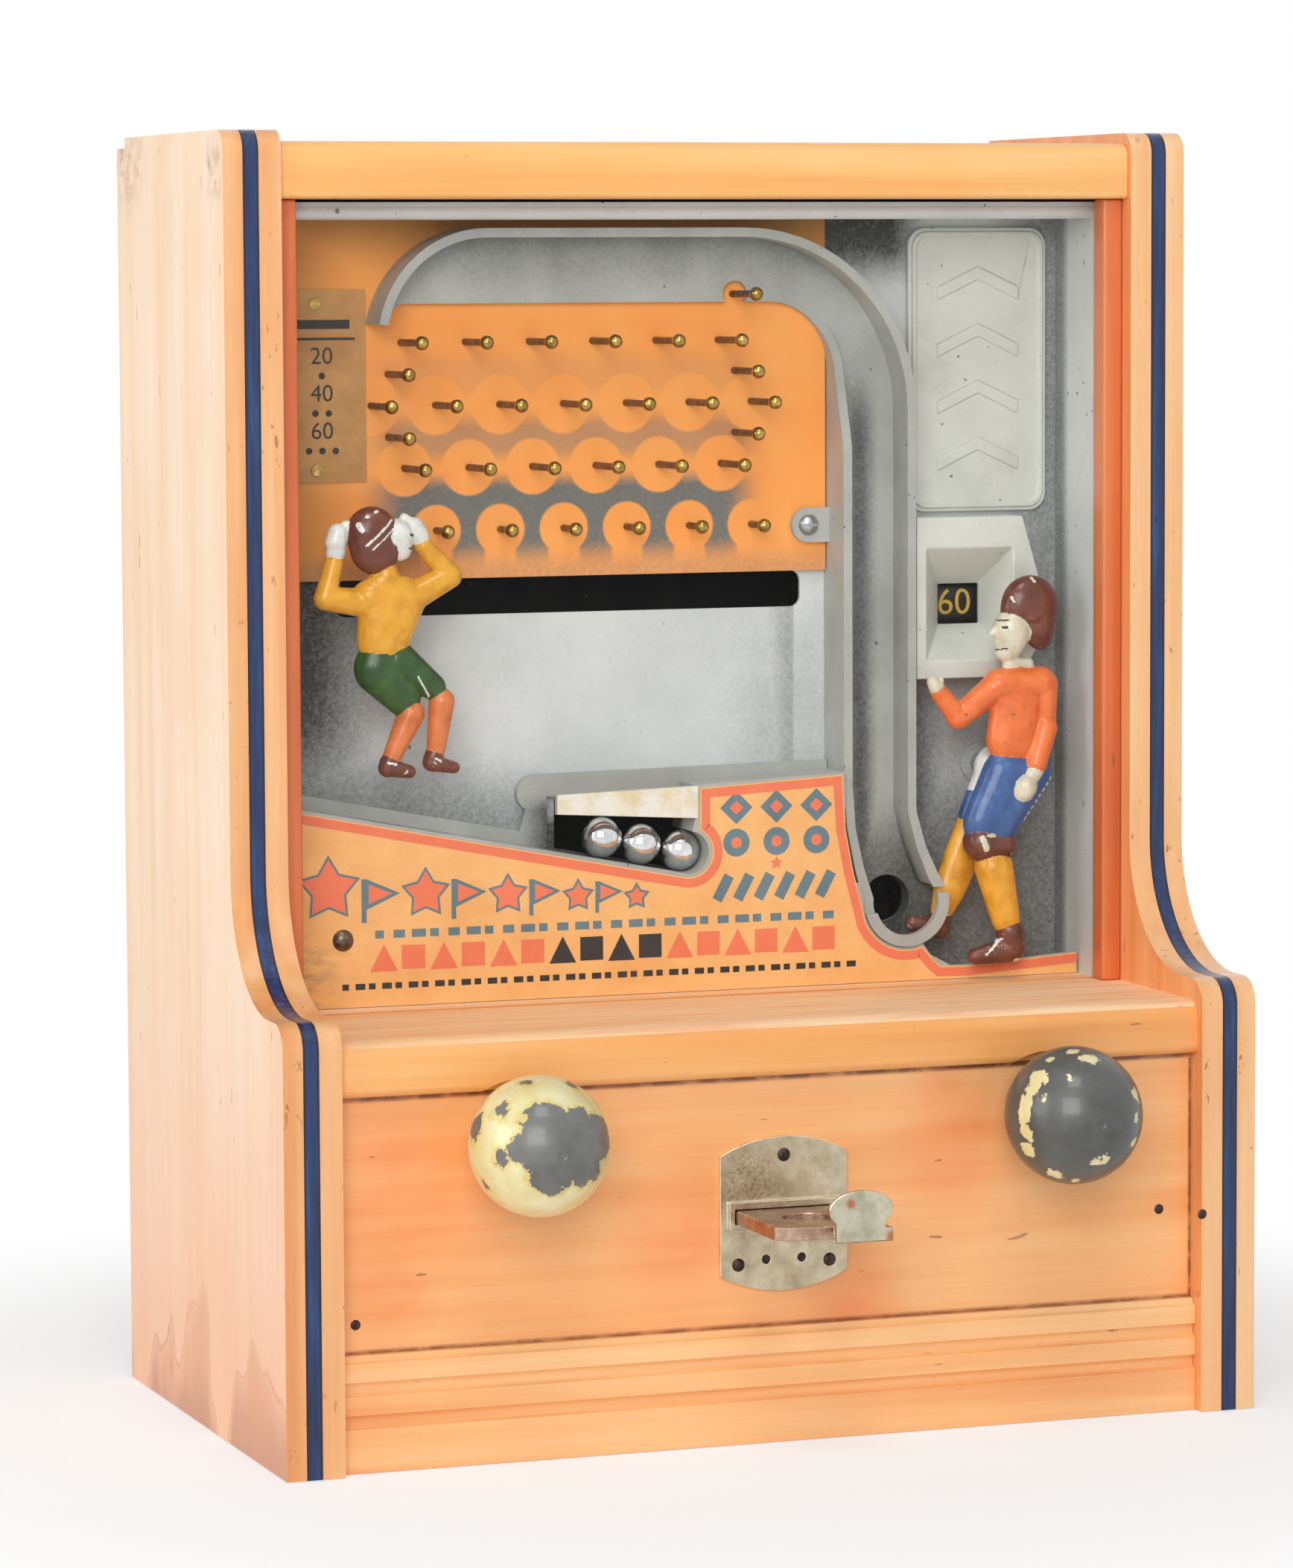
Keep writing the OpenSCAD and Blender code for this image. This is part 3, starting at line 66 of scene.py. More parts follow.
scene.view_settings.view_transform = "Standard"

# Sizes in mm, the same as in the part's source
MM = 0.001
BOARD_Y = 13.0
CARD_Y = -7.6
RAMP_Z = 201.3
RAMP_A = 11.0
RAMP_K = math.tan(math.radians(RAMP_A))
PINS_X = -106.5
PINS_Z = 404.0
PIN_PITCH = 25.4
ROW_PITCH = 23.6
ROW_SHIFT = 12.0
PIN_LONG = 26.0
PIN_SHORT = 14.0
BALL_R = 7.95
BALL_Y = 4.05
BALL_X = [0.5 - 15.75 * i for i in range(3)]
KNOB_Z = 119.5
KNOB_Y = -100.5
KNOB_R = 25.5
KNOB_OUT = 29.5
KNOB_LEFT = -102.0
KNOB_RIGHT = 106.0
CUP = (90.0, 187.0)
CUP_R = 18.7
HIP = (130.0, 238.0)
STEM = (-123.0, 308.0)
FIG_Y = -12.35
FIG_BACK = -5.5
LEG_Y = 0.2
DRUM = (121.0, 43.5, 300.5)
DRUM_R = 24.0
FRONT_Y = -98.0
COIN = (3.0, 84.5)
INLAY_X = 180.0
INNER_X = 168.5
FIELD_Y = 16.0

# Node kinds and the settings that come back often
MATH = "ShaderNodeMath"
MIX = "ShaderNodeMix"
STOPS = "ShaderNodeValToRGB"
RANGE = "ShaderNodeMapRange"
BUMP = "ShaderNodeBump"
TIMES = {"operation": "MULTIPLY"}
PLUS = {"operation": "ADD"}
MINUS = {"operation": "SUBTRACT"}
MOST = {"operation": "MAXIMUM"}
EASED = {"interpolation_type": "SMOOTHSTEP"}
STRAIGHT = {"interpolation_type": "LINEAR"}
TINT = {"data_type": "RGBA"}
SHADE = {"data_type": "RGBA", "blend_type": "MULTIPLY"}


def srgb(code):
    """An sRGB hex value as a linear colour."""
    parts = [int(code[i:i + 2], 16) / 255 for i in (1, 3, 5)]
    return [c / 12.92 if c <= 0.04045 else ((c + 0.055) / 1.055) ** 2.4 for c in parts] + [1.0]


def add(tree, kind, inputs=(), out=0, stops=(), **settings):
    """Adds one node with its settings, its inputs (values or links, by name or place) and its colour stops."""
    node = tree.nodes.new(kind)
    for key, value in settings.items():
        setattr(node, key, value)
    for key, value in dict(inputs if isinstance(inputs, dict) else enumerate(inputs)).items():
        if isinstance(value, bpy.types.NodeSocket):
            tree.links.new(value, node.inputs[key])
        elif value is not None:
            node.inputs[key].default_value = value
    for i, (place, colour) in enumerate(stops):
        bar = node.color_ramp.elements
        stop = bar[i] if i < len(bar) else bar.new(place)
        stop.position = place
        stop.color = srgb(colour) if isinstance(colour, str) else (colour, colour, colour, 1)
    return node if out is None else node.outputs[out]


def coat(name):
    """A new material, the function that adds to its tree, and its object coordinates."""
    mat = bpy.data.materials.new(name)
    mat.use_nodes = True
    put = functools.partial(add, mat.node_tree)
    return mat, put, put("ShaderNodeTexCoord", out="Object")


def lay(mat, **inputs):
    """Sets or links the shader's own inputs."""
    shader = mat.node_tree.nodes["Principled BSDF"]
    for key, value in inputs.items():
        socket = shader.inputs[key.replace("_", " ")]
        if isinstance(value, bpy.types.NodeSocket):
            mat.node_tree.links.new(value, socket)
        else:
            socket.default_value = value
    return mat


def patches(put, coords, size_mm, detail=3.0, rough=0.55, shift=(0, 0, 0)):
    """Cloudy pattern whose patches measure size_mm along X, Y and Z."""
    size = size_mm if isinstance(size_mm, (tuple, list)) else (size_mm,) * 3
    at = put("ShaderNodeMapping", {"Vector": coords, "Location": shift, "Scale": [1 / (s * MM) for s in size]})
    return put("ShaderNodeTexNoise", {"Vector": at, "Scale": 1.0, "Detail": detail, "Roughness": rough})


def in_mm(put, coords):
    """X, Y and Z of the object coordinates in mm."""
    split = put("ShaderNodeSeparateXYZ", (coords,)).node
    return [put(MATH, (split.outputs[i], 1 / MM), **TIMES) for i in range(3)]


def strongest(put, masks):
    """The largest of some masks, point by point."""
    return functools.reduce(lambda a, b: put(MATH, (a, b), **MOST), masks)


def within(put, *fades, how=EASED):
    """Where fades hold together; a fade is (value, start, end), with what it gives at both if that isn't 0 and 1."""
    return functools.reduce(lambda a, b: put(MATH, (a, b), **TIMES), [put(RANGE, fade, **how) for fade in fades])


def washed(put, under, *washes):
    """A colour with washes laid over it in turn; a wash is (how much, sRGB hex)."""
    for amount, code in washes:
        under = put(MIX, {0: amount, 6: under, 7: srgb(code)}, 2, **TINT)
    return under


def seen_rays(put):
    """1 for what the camera sees straight on, in a gloss or through glass."""
    rays = put("ShaderNodeLightPath").node.outputs
    return strongest(put, [rays[f"Is {kind} Ray"] for kind in ("Camera", "Glossy", "Transmission")])


def spot(put, coords, x, y, z, radius, soft):
    """1 inside a ball round a point, fading out over soft; all in mm."""
    far = put("ShaderNodeVectorMath", (coords, (x * MM, y * MM, z * MM)), "Value", operation="DISTANCE")
    return put(RANGE, (far, (radius + soft) * MM, radius * MM), **EASED)


def varnished_maple(name, pale, main, deep, grain, seed, rough, worn=None, blotch=0.3):
    """Hard maple under aged shellac: quiet long grain, warm clouds, and a few dark dashes under a soft gloss."""
    mat, put, coords = coat(name)
    long_way = {"x": (260, 13, 13), "z": (13, 13, 280)}[grain]
    fine_way = {"x": (60, 1.1, 1.1), "z": (1.1, 1.1, 64)}[grain]
    dash_way = {"x": (13, 3.2, 3.2), "z": (3.2, 3.2, 13)}[grain]
    figure = patches(put, coords, long_way, 3.0, 0.5, (seed, seed, seed))
    fibre = patches(put, coords, fine_way, 3.0, 0.6, (seed + 2, seed, seed))
    cloud = patches(put, coords, 70, 3.0, 0.5, (seed, seed + 5, seed))
    dash = patches(put, coords, dash_way, 1.0, 0.5, (seed + 9, seed, seed + 3))
    wood = put(STOPS, (figure,), stops=[(0.32, pale), (0.52, main), (0.78, deep)])
    wood = put(MIX, {0: 0.65, 6: wood, 7: put(STOPS, (fibre,), stops=[(0.35, 1.0), (0.78, 0.90)])}, 2, **SHADE)
    wood = washed(put, wood, (put(RANGE, (cloud, 0.36, 0.84, 0.0, blotch), **EASED), deep))
    wood = worn(put, coords, wood) if worn else wood
    wood = washed(put, wood, (put(RANGE, (dash, 0.775, 0.80, 0.0, 0.6)), "#8A4E2C"))
    gloss = put(RANGE, (cloud, 0.2, 0.8, rough - 0.06, rough + 0.10), **EASED)
    return lay(mat, Base_Color=wood, Roughness=gloss, Coat_Weight=0.25 if rough < 0.5 else 0.0, Coat_Roughness=0.2,
               Normal=put(BUMP, {"Strength": 0.06, "Distance": 0.2 * MM, "Height": fibre}))


def edge_nicks(put, coords, wood):
    """Small red-brown dents and short dark drag marks along an edge."""
    nick = patches(put, coords, (2.6, 2.6, 7), 2.0, 0.6, (5, 3, 1))
    place = patches(put, coords, 46, 2.0, 0.5, (7, 7, 2))
    mark = within(put, (nick, 0.66, 0.70, 0.0, 0.7), (place, 0.48, 0.60), how=STRAIGHT)
    return washed(put, wood, (mark, "#A1502A"))


def red_streaks(put, coords, wood):
    """Redder streaks of varnish along the ledge."""
    streak = patches(put, coords, (60, 4, 4), 3.0, 0.6, (3, 9, 2))
    return washed(put, wood, (put(RANGE, (streak, 0.42, 0.70, 0.0, 0.42), **EASED), "#F0935F"))


def damp_foot(put, coords, wood):
    """Redder wood towards the foot, water marks that climb from it in flames, and a rubbed upper rear corner."""
    z = in_mm(put, coords)[2]
    warm = put(RANGE, (z, 230.0, 0.0, 0.0, 0.66), **EASED)
    flame = patches(put, coords, (34, 34, 130), 1.4, 0.5, (4, 8, 1))
    depth = put(MATH, (z, put(RANGE, (flame, 0.44, 0.72, -6.0, 60.0))), **MINUS)
    mark = put(RANGE, (depth, 6.0, -10.0, 0.0, 0.52), **EASED)
    brink = put(RANGE, (put(MATH, (depth,), operation="ABSOLUTE"), 2.5, 0.0, 0.0, 0.45))
    brink = put(MATH, (brink, put(RANGE, (z, 70.0, 10.0), **EASED)), **TIMES)
    damp = within(put, (depth, 0.0, -26.0), (z, 34.0, 0.0, 0.0, 0.55))
    rubbed = strongest(put, [spot(put, coords, -190, 92, 474, 4, 26), spot(put, coords, -190, -30, 468, 3, 14)])
    grime = put(RANGE, (patches(put, coords, 7, 4.0, 0.7), 0.4, 0.7))
    return washed(put, wood, (warm, "#F5AA78"), (mark, "#DB8C57"), (strongest(put, [brink, damp]), "#AC6536"),
                  (put(MATH, (rubbed, grime), **TIMES), "#B58560"))


def hand_wear(put, coords, wood):
    """Redder varnish where hands and the coin slide have warmed the front, and brown dirt in its joints."""
    places = [(-140, 100, 4, 44), (-150, 66, 2, 26), (-36, 80, 4, 34),
              (30, 50, 2, 28), (72, 106, 5, 32), (66, 128, 1, 18)]
    red = strongest(put, [spot(put, coords, x, FRONT_Y, z, r, soft) for x, z, r, soft in places])
    cloud = put(RANGE, (patches(put, coords, (60, 20, 24), 3.0, 0.55, (2, 2, 6)), 0.3, 0.65, 0.22, 0.6))
    x, _, z = in_mm(put, coords)
    side = put(RANGE, (put(MATH, (x,), operation="ABSOLUTE"), INNER_X - 1.6, INNER_X - 0.5, 0.0, 0.9))
    joint = strongest(put, [side, put(RANGE, (z, 133.4, 134.6, 0.0, 0.9)), put(RANGE, (z, 44.4, 43.2, 0.0, 0.8))])
    dirt = put(RANGE, (patches(put, coords, (9, 9, 6), 3.0, 0.6, (1, 4, 4)), 0.3, 0.55, 0.45, 1.0))
    return washed(put, wood, (put(MATH, (red, cloud), **TIMES), "#F27F45"),
                  (put(MATH, (joint, dirt), **TIMES), "#6E3014"))


def navy_enamel():
    """Navy enamel run into a groove: glossy, pooled along its length, darker at both brinks, with small chips."""
    mat, put, coords = coat("navy_enamel_inlay")
    pool = patches(put, coords, (3, 3, 45), 3.0, 0.6)
    chip = put(RANGE, (patches(put, coords, (2.2, 2.2, 3.5), 2.0, 0.6, (3, 1, 2)), 0.69, 0.73, 0.0, 0.85))
    blue = put(STOPS, (pool,), stops=[(0.3, "#0F1F46"), (0.55, "#183463"), (0.8, "#2D528C")])
    across = put(MATH, (in_mm(put, coords)[0],), operation="ABSOLUTE")
    off = put(MATH, (put(MATH, (across, INLAY_X), **MINUS),), operation="ABSOLUTE")
    brink = put(RANGE, (off, 1.9, 2.4, 0.0, 0.9))
    blue = washed(put, blue, (strongest(put, [chip, brink]), "#0D1226"))
    return lay(mat, Base_Color=blue, Roughness=0.26, Coat_Weight=0.1,
               Normal=put(BUMP, {"Strength": 0.25, "Distance": 0.4 * MM, "Height": pool}))


def grey_enamel(name, pale, main, dark, metallic, shading=None):
    """Aluminium-grey paint on cast or sheet metal, darker where the shading puts airbrushed dust or painted shade,
    with small chips.
    """
    mat, put, coords = coat(name)
    cloud = patches(put, coords, 34, 4.0, 0.6)
    mist = patches(put, coords, 1.5, 2.0, 0.7, (4, 4, 4))
    grey = put(STOPS, (cloud,), stops=[(0.3, pale), (0.7, main)])
    # With a shading function, dust also carries its painted shade and shadow
    dust = shading(put, coords) if shading else put(RANGE, (cloud, 0.5, 0.9, 0.0, 0.3))
    grit = put(MATH, (put(MATH, (mist, 0.5), **MINUS), put(RANGE, (dust, 0.0, 0.5, 0.26, 0.6))), **TIMES)
    cover = put(MATH, (dust, grit), use_clamp=True, **PLUS)
    chip = put(RANGE, (patches(put, coords, 3.2, 1.0, 0.5, (7, 2, 8)), 0.76, 0.785, 0.0, 0.8))
    grey = washed(put, grey, (cover, dark), (chip, "#4B4C49"))
    return lay(mat, Base_Color=grey, Metallic=metallic, Roughness=put(RANGE, (cloud, 0.2, 0.8, 0.36, 0.52)),
               Normal=put(BUMP, {"Strength": 0.10, "Distance": 0.15 * MM, "Height": mist}))


def tray_airbrush(put, coords):
    """Darker tray floor: airbrushed dust above the ramp, low on the right and at the right edge, darker at the left
    edge; painted shade under the bezel by the track, painted shadow of the top rail at the roof, painted shade in
    the ball pocket.
    """
    x, y, z = in_mm(put, coords)
    floor = put(RANGE, (y, 3.0, 9.0))
    above = put(MATH, (z, put(MATH, (x, -RAMP_K, RAMP_Z + 4), operation="MULTIPLY_ADD")), **MINUS)
    ramp = within(put, (above, 34.0, 0.0), (x, 60.0, -120.0, 0.3, 0.6))
    left = within(put, (x, -102.0, -147.0), (z, 236.0, 268.0, 0.6, 1.0), (x, -163.0, -148.0, 0.7, 1.0))
    right = within(put, (x, 128.0, 160.0, 0.0, 0.58))
    # Painted shade: darker beside the track's wall, under the bezel
    track = within(put, (x, 118.0, 98.0, 0.35, 0.9), (z, 300.0, 262.0))
    low = strongest(put, [track, within(put, (z, 268.0, 200.0, 0.0, 0.70))])
    low = put(MATH, (low, put(RANGE, (x, 91.0, 94.0))), **TIMES)
    # Painted shadow of the top rail along the roof
    roof = within(put, (z, 420.0, 442.0), (x, 110.0, 92.0))
    line = within(put, (x, 38.0, 51.0, 0.0, 0.4), (x, 53.0, 51.8))
    haze = within(put, (x, 14.0, 44.0, 0.0, 0.2), (z, 320.0, 250.0))
    # Painted shade in the ball pocket
    nest = within(put, (x, -54.0, -50.0, 0.0, 0.95), (x, 16.0, 12.0), (z, 226.0, 220.0), how=STRAIGHT)
    return put(MATH, (strongest(put, [ramp, left, right, low, roof, line, haze, nest]), floor), **TIMES)


def channel_airbrush(put, coords):
    """A dark streak down the left of the ball channel, a bend darker towards its top, and painted shade in the cup
    and the ball pocket.
    """
    x, y, z = in_mm(put, coords)
    deep = put(RANGE, (y, 3.0, 9.0), **EASED)
    off = put(MATH, (put(MATH, (x, 77.5), **MINUS),), operation="ABSOLUTE")
    streak = within(put, (off, 9.0, 0.5, 0.0, 0.85), (z, 400.0, 366.0))
    bend = within(put, (z, 416.0, 444.0, 0.0, 0.38), (z, 380.0, 415.0))
    # Painted shade: darker down towards the cup, and in the ball pocket
    cup = put(MATH, (put(RANGE, (z, 230.0, 196.0, 0.0, 0.85), **EASED), put(RANGE, (x, 60.0, 66.0))), **TIMES)
    pocket = within(put, (x, -62.0, -50.0, 0.0, 0.95), (x, 16.0, 12.0), (z, 232.0, 226.0), how=STRAIGHT)
    wave = put(RANGE, (patches(put, coords, (30, 30, 90), 2.0, 0.5, (1, 8, 3)), 0.35, 0.65, 0.7, 1.15))
    dust = put(MATH, (strongest(put, [streak, bend, cup]), wave), use_clamp=True, **TIMES)
    return put(MATH, (deep, strongest(put, [dust, pocket])), **TIMES)


def stencil_row(put, x, z, first, level, count, radius):
    """Stencil discs round one row of pins: 1 inside a disc."""
    start = PINS_X + first
    turn = put(MATH, (x, 1 / PIN_PITCH, 0.5 - start / PIN_PITCH), operation="MULTIPLY_ADD")
    part = put(MATH, (put(MATH, (turn,), operation="FRACT"), 0.5), **MINUS)
    flat = put("ShaderNodeCombineXYZ", (put(MATH, (part, PIN_PITCH), **TIMES), put(MATH, (z, level), **MINUS), 0.0))
    far = put("ShaderNodeVectorMath", (flat,), "Value", operation="LENGTH")
    inside = put(RANGE, (far, radius + 0.5, radius - 0.4))
    end = start + (count - 1) * PIN_PITCH + 12.5
    between = put(MATH, (put(MATH, (x, start - 12.5), operation="GREATER_THAN"),
                         put(MATH, (x, end), operation="LESS_THAN")), **TIMES)
    return put(MATH, (inside, between), **TIMES)


def stencilled_enamel():
    """Orange enamel on the pin board, dusted grey over discs masked round the pins, darker towards its left edge and
    with the top rail's shadow painted along its top.
    """
    mat, put, coords = coat("airbrushed_orange_enamel")
    x, _, z = in_mm(put, coords)
    level = [PINS_Z - i * ROW_PITCH for i in range(4)]
    tails = []
    for i in range(1, 7):
        across = put(MATH, (put(MATH, (x, PINS_X - ROW_SHIFT + i * PIN_PITCH), **MINUS),), operation="ABSOLUTE")
        tails.append(put(RANGE, (across, 7.2, 5.2), **EASED))
    tail = put(MATH, (strongest(put, tails), put(RANGE, (z, level[3], level[3] - 3), **EASED)), **TIMES)
    masked = strongest(put, [stencil_row(put, x, z, -ROW_SHIFT, level[1], 7, 11.2),
                             stencil_row(put, x, z, 1.0, level[2], 6, 10.6),
                             stencil_row(put, x, z, 13.4, level[3], 6, 9.6), tail])
    bands = [within(put, (z, top, full), (z, base, end, 0.0, amount)) for top, full, end, base, amount in (
        (356, 348, 330, 317, 1.0), (379, 371, 365, 356, 0.5), (402, 394, 388, 380, 0.14))]
    inner = within(put, (x, -126.0, -104.0), (x, 40.0, 22.0))
    mist = patches(put, coords, 1.6, 2.0, 0.7)
    cloud = patches(put, coords, 24, 3.0, 0.6)
    dust = put(MATH, (strongest(put, bands), inner), **TIMES)
    dust = put(MATH, (dust, put(RANGE, (masked, 0.0, 1.0, 1.0, 0.0))), **TIMES)
    dust = put(MATH, (dust, put(RANGE, (mist, 0.2, 0.8, 0.8, 1.2))), use_clamp=True, **TIMES)
    # Darker towards the left edge, and painted shadow of the top rail along the top
    dim = strongest(put, [within(put, (x, -112.0, -160.0, 0.0, 0.58)), within(put, (z, 426.0, 452.0, 0.0, 0.58))])
    rub = put(MATH, (put(RANGE, (z, 327.0, 316.0, 0.0, 0.7), **EASED), mist), **TIMES)
    orange = put(STOPS, (cloud,), stops=[(0.3, "#FFAC56"), (0.7, "#FFA04A")])
    orange = washed(put, orange, (dim, "#94702F"), (dust, "#6E716B"), (rub, "#7C7A72"))
    return lay(mat, Base_Color=orange, Roughness=0.5,
               Normal=put(BUMP, {"Strength": 0.08, "Distance": 0.12 * MM, "Height": mist}))


def metal(name, pale, main, dark, rough, cloud_mm, wear=0.5, worn=None):
    """Bare or plated metal: tarnish in clouds, pits, and fine scratches that break up the gloss."""
    mat, put, coords = coat(name)
    cloud = patches(put, coords, cloud_mm, 4.0, 0.65)
    scratch = patches(put, coords, 1.2, 2.0, 0.6, (2, 6, 1))
    pit = put(RANGE, (patches(put, coords, 2.0, 1.0, 0.5, (5, 5, 1)), 0.70, 0.76, 0.0, wear))
    colour = put(STOPS, (cloud,), stops=[(0.28, pale), (0.5, main), (0.78, dark)])
    colour = washed(put, colour, (pit, dark))
    colour = worn(put, coords, colour) if worn else colour
    return lay(mat, Base_Color=colour, Metallic=1.0,
               Roughness=put(RANGE, (scratch, 0.3, 0.7, rough * 0.7, rough * 1.35)),
               Normal=put(BUMP, {"Strength": 0.08, "Distance": 0.1 * MM, "Height": scratch}))


def copper_spot(put, coords, colour):
    """Plating rubbed through to copper: one round place under the thumb, and the tab's lower corner."""
    copper = strongest(put, [spot(put, coords, 6.4, -158.0, 96.4, 0.9, 1.5),
                             spot(put, coords, 22.6, -158.0, 83.6, 1.2, 2.6)])
    return washed(put, colour, (copper, "#B87A5A"))


def hand_paint(name, pale, main, dark, bare="#D9D4C6", wear=0.0):
    """Thick enamel brushed on cast metal: pooled colour, brush ridges, and spots rubbed to the metal."""
    mat, put, coords = coat(name)
    pool = patches(put, coords, 7, 3.0, 0.6)
    brush = patches(put, coords, (1.4, 1.4, 5), 2.0, 0.6, (1, 2, 7))
    rub = patches(put, coords, 2.8, 3.0, 0.65, (6, 3, 9))
    rub = put(RANGE, (rub, 0.70 - wear, 0.73 - wear, 0.0, 0.9 if wear else 0.35))
    colour = put(STOPS, (pool,), stops=[(0.3, pale), (0.52, main), (0.76, dark)])
    return lay(mat, Base_Color=washed(put, colour, (rub, bare)), Roughness=0.28, Specular_IOR_Level=0.3,
               Coat_Weight=0.25, Coat_Roughness=0.08,
               Normal=put(BUMP, {"Strength": 0.35, "Distance": 0.4 * MM, "Height": brush}))


def printed(name, main, dark, rough=0.6, stain_mm=22, worn=None):
    """Ink or varnished card stock: faint fibre, brown age stains and rubbed colour."""
    mat, put, coords = coat(name)
    stain = patches(put, coords, stain_mm, 4.0, 0.65)
    fibre = patches(put, coords, 0.9, 2.0, 0.6, (3, 3, 3))
    colour = put(STOPS, (stain,), stops=[(0.40, main), (0.85, dark)])
    colour = put(MIX, {0: 0.25, 6: colour, 7: put(STOPS, (fibre,), stops=[(0.3, 0.82), (0.7, 1.0)])}, 2, **SHADE)
    colour = worn(put, coords, colour) if worn else colour
    return lay(mat, Base_Color=colour, Roughness=rough,
               Normal=put(BUMP, {"Strength": 0.05, "Distance": 0.05 * MM, "Height": fibre}))


def handled_corner(put, coords, colour):
    """Grey dirt and rubbed fibres at the card's lower left corner."""
    place = spot(put, coords, -160, CARD_Y, 166, 4, 28)
    rubbed = put(RANGE, (patches(put, coords, (10, 4, 3.4), 4.0, 0.7, (2, 1, 5)), 0.42, 0.64, 0.0, 0.75))
    return washed(put, colour, (put(MATH, (place, rubbed), **TIMES), "#9C8460"))


def deepest(put, coords, places):
    """How far inside the nearest of some balls a point is; a ball is (x, y, z, radius) in mm."""
    def inside(x, y, z, r):
        far = put("ShaderNodeVectorMath", (coords, (x * MM, y * MM, z * MM)), "Value", operation="DISTANCE")
        return put(MATH, (far, -1 / MM, r), operation="MULTIPLY_ADD")
    return strongest(put, [inside(*place) for place in places])


def chipped_enamel(name, x, flaked, kept, seed, dark):
    """Cream enamel on a dark turned knob, flaked off in jagged patches by hands, with islands of it left."""
    mat, put, coords = coat(name)

    def on_ball(places):
        front = KNOB_Y - KNOB_OUT
        return [(x + dx, front - math.sqrt(max(KNOB_R ** 2 - dx * dx - dz * dz, 0)), KNOB_Z + dz, r)
                for dx, dz, r in places]

    jag = put(MATH, (put(MATH, (patches(put, coords, 5.5, 5.0, 0.7, (seed, 2, 4)), 0.5), **MINUS), 11.0), **TIMES)
    gone = put(MATH, (deepest(put, coords, on_ball(flaked)), jag), **PLUS)
    left = put(MATH, (deepest(put, coords, on_ball(kept)), jag), **MINUS)
    bare = within(put, (gone, -0.2, 0.2), (left, 0.2, -0.2), how=STRAIGHT)
    cloud = patches(put, coords, 12, 3.0, 0.6, (8, 1, 1))
    brink = put(MATH, (put(RANGE, (gone, -2.6, -0.2, 0.0, 0.7), **EASED), put(RANGE, (gone, 6.0, 3.0))), **TIMES)
    paint = put(STOPS, (cloud,), stops=[(0.3, "#EAE3B6"), (0.7, "#DCCD8C")])
    paint = washed(put, paint, (brink, "#D8BE66"))
    base = put(STOPS, (cloud,), stops=[(0.3, dark[0]), (0.7, dark[1])])
    colour = put(MIX, {0: bare, 6: paint, 7: base}, 2, **TINT)
    step = put(MATH, (bare, -1.0), **TIMES)
    return lay(mat, Base_Color=colour, Roughness=put(RANGE, (bare, 0.0, 1.0, 0.2, 0.36)), Coat_Weight=0.2,
               Normal=put(BUMP, {"Strength": 0.5, "Distance": 0.25 * MM, "Height": step}))


def window_glass():
    """Old sheet glass: all but clear, with a faint gloss and a few specks of dust."""
    mat, put, coords = coat("window_glass")
    dust = put(RANGE, (patches(put, coords, 1.2, 1.0, 0.5), 0.78, 0.82, 0.004, 0.05))
    return lay(mat, Alpha=dust, Base_Color=srgb("#F2F6F6"), Roughness=0.04)


def piece(name, mesh, material, body="cabinet", node=None, smooth=35):
    """Puts a mesh, or a list of bmesh forms, in the scene: it rides on a body, and may stand for a CAD node.

    A mesh that was grown has its finishes already, so its material is an empty list."""
    mesh = as_mesh(name, mesh) if isinstance(mesh, list) else mesh
    obj = bpy.data.objects.new(name, mesh)
    scene.collection.objects.link(obj)
    for finish in material if isinstance(material, list) else [material]:
        mesh.materials.append(finish)
    if smooth is not None:
        mesh.shade_smooth()
        mesh.set_sharp_from_angle(angle=math.radians(smooth))
    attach(obj, body)
    if node:
        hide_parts(node)
    return obj


def finished(obj):
    """The object's mesh with its modifiers applied; the object itself goes."""
    bpy.context.view_layer.update()
    mesh = bpy.data.meshes.new_from_object(obj.evaluated_get(bpy.context.evaluated_depsgraph_get()))
    bpy.data.objects.remove(obj)
    return mesh


def work_piece(name, mesh):
    """An object to work on, which finished() uses up."""
    obj = bpy.data.objects.new(name + "_work", mesh)
    scene.collection.objects.link(obj)
    return obj


def as_mesh(name, forms):
    """One mesh from one bmesh or more."""
    whole = bmesh.new()
    for form in forms:
        swap = bpy.data.meshes.new("swap")
        form.to_mesh(swap)
        form.free()
        whole.from_mesh(swap)
        bpy.data.meshes.remove(swap)
    mesh = bpy.data.meshes.new(name)
    whole.to_mesh(mesh)
    whole.free()
    return mesh


def softened(node, width_mm, material, segments=3, pick=None):
    """The CAD node with its hard edges rounded over, as a piece that stands for it.

    Where it has more than one finish, pick(face) gives the place of a face's own in the list."""
    form = bmesh.new()
    form.from_mesh(nodes[node].data)
    bmesh.ops.remove_doubles(form, verts=form.verts, dist=1e-6)
    bmesh.ops.dissolve_limit(form, angle_limit=math.radians(0.6), verts=form.verts, edges=form.edges)
    obj = work_piece(node, as_mesh(node, [form]))
    obj.data.shade_smooth()
    rounding = obj.modifiers.new("round_over", "BEVEL")
    rounding.width = width_mm * MM
    rounding.segments = segments
    rounding.limit_method = "ANGLE"
    rounding.angle_limit = math.radians(30)
    rounding.use_clamp_overlap = True
    rounding.miter_outer = "MITER_ARC"
    even = obj.modifiers.new("even_faces", "WEIGHTED_NORMAL")
    even.weight = 100
    even.thresh = 0.05
    part = piece(node + "_finished", finished(obj), material, nodes[node]["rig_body"], node, smooth=None)
    for face in part.data.polygons if pick else ():
        face.material_index = int(pick(face))


def side_face(face):
    """Which finish a side panel's face has: outer face, edge or inner cheek."""
    outward = face.normal.x * math.copysign(1, face.center.x)
    return 0 if outward > 0.72 else 2 if outward < -0.72 else 1


def dress(names, material):
    """Gives CAD nodes that keep their shape a finish."""
    for name in names:
        nodes[name].data.materials.clear()
        nodes[name].data.materials.append(material)


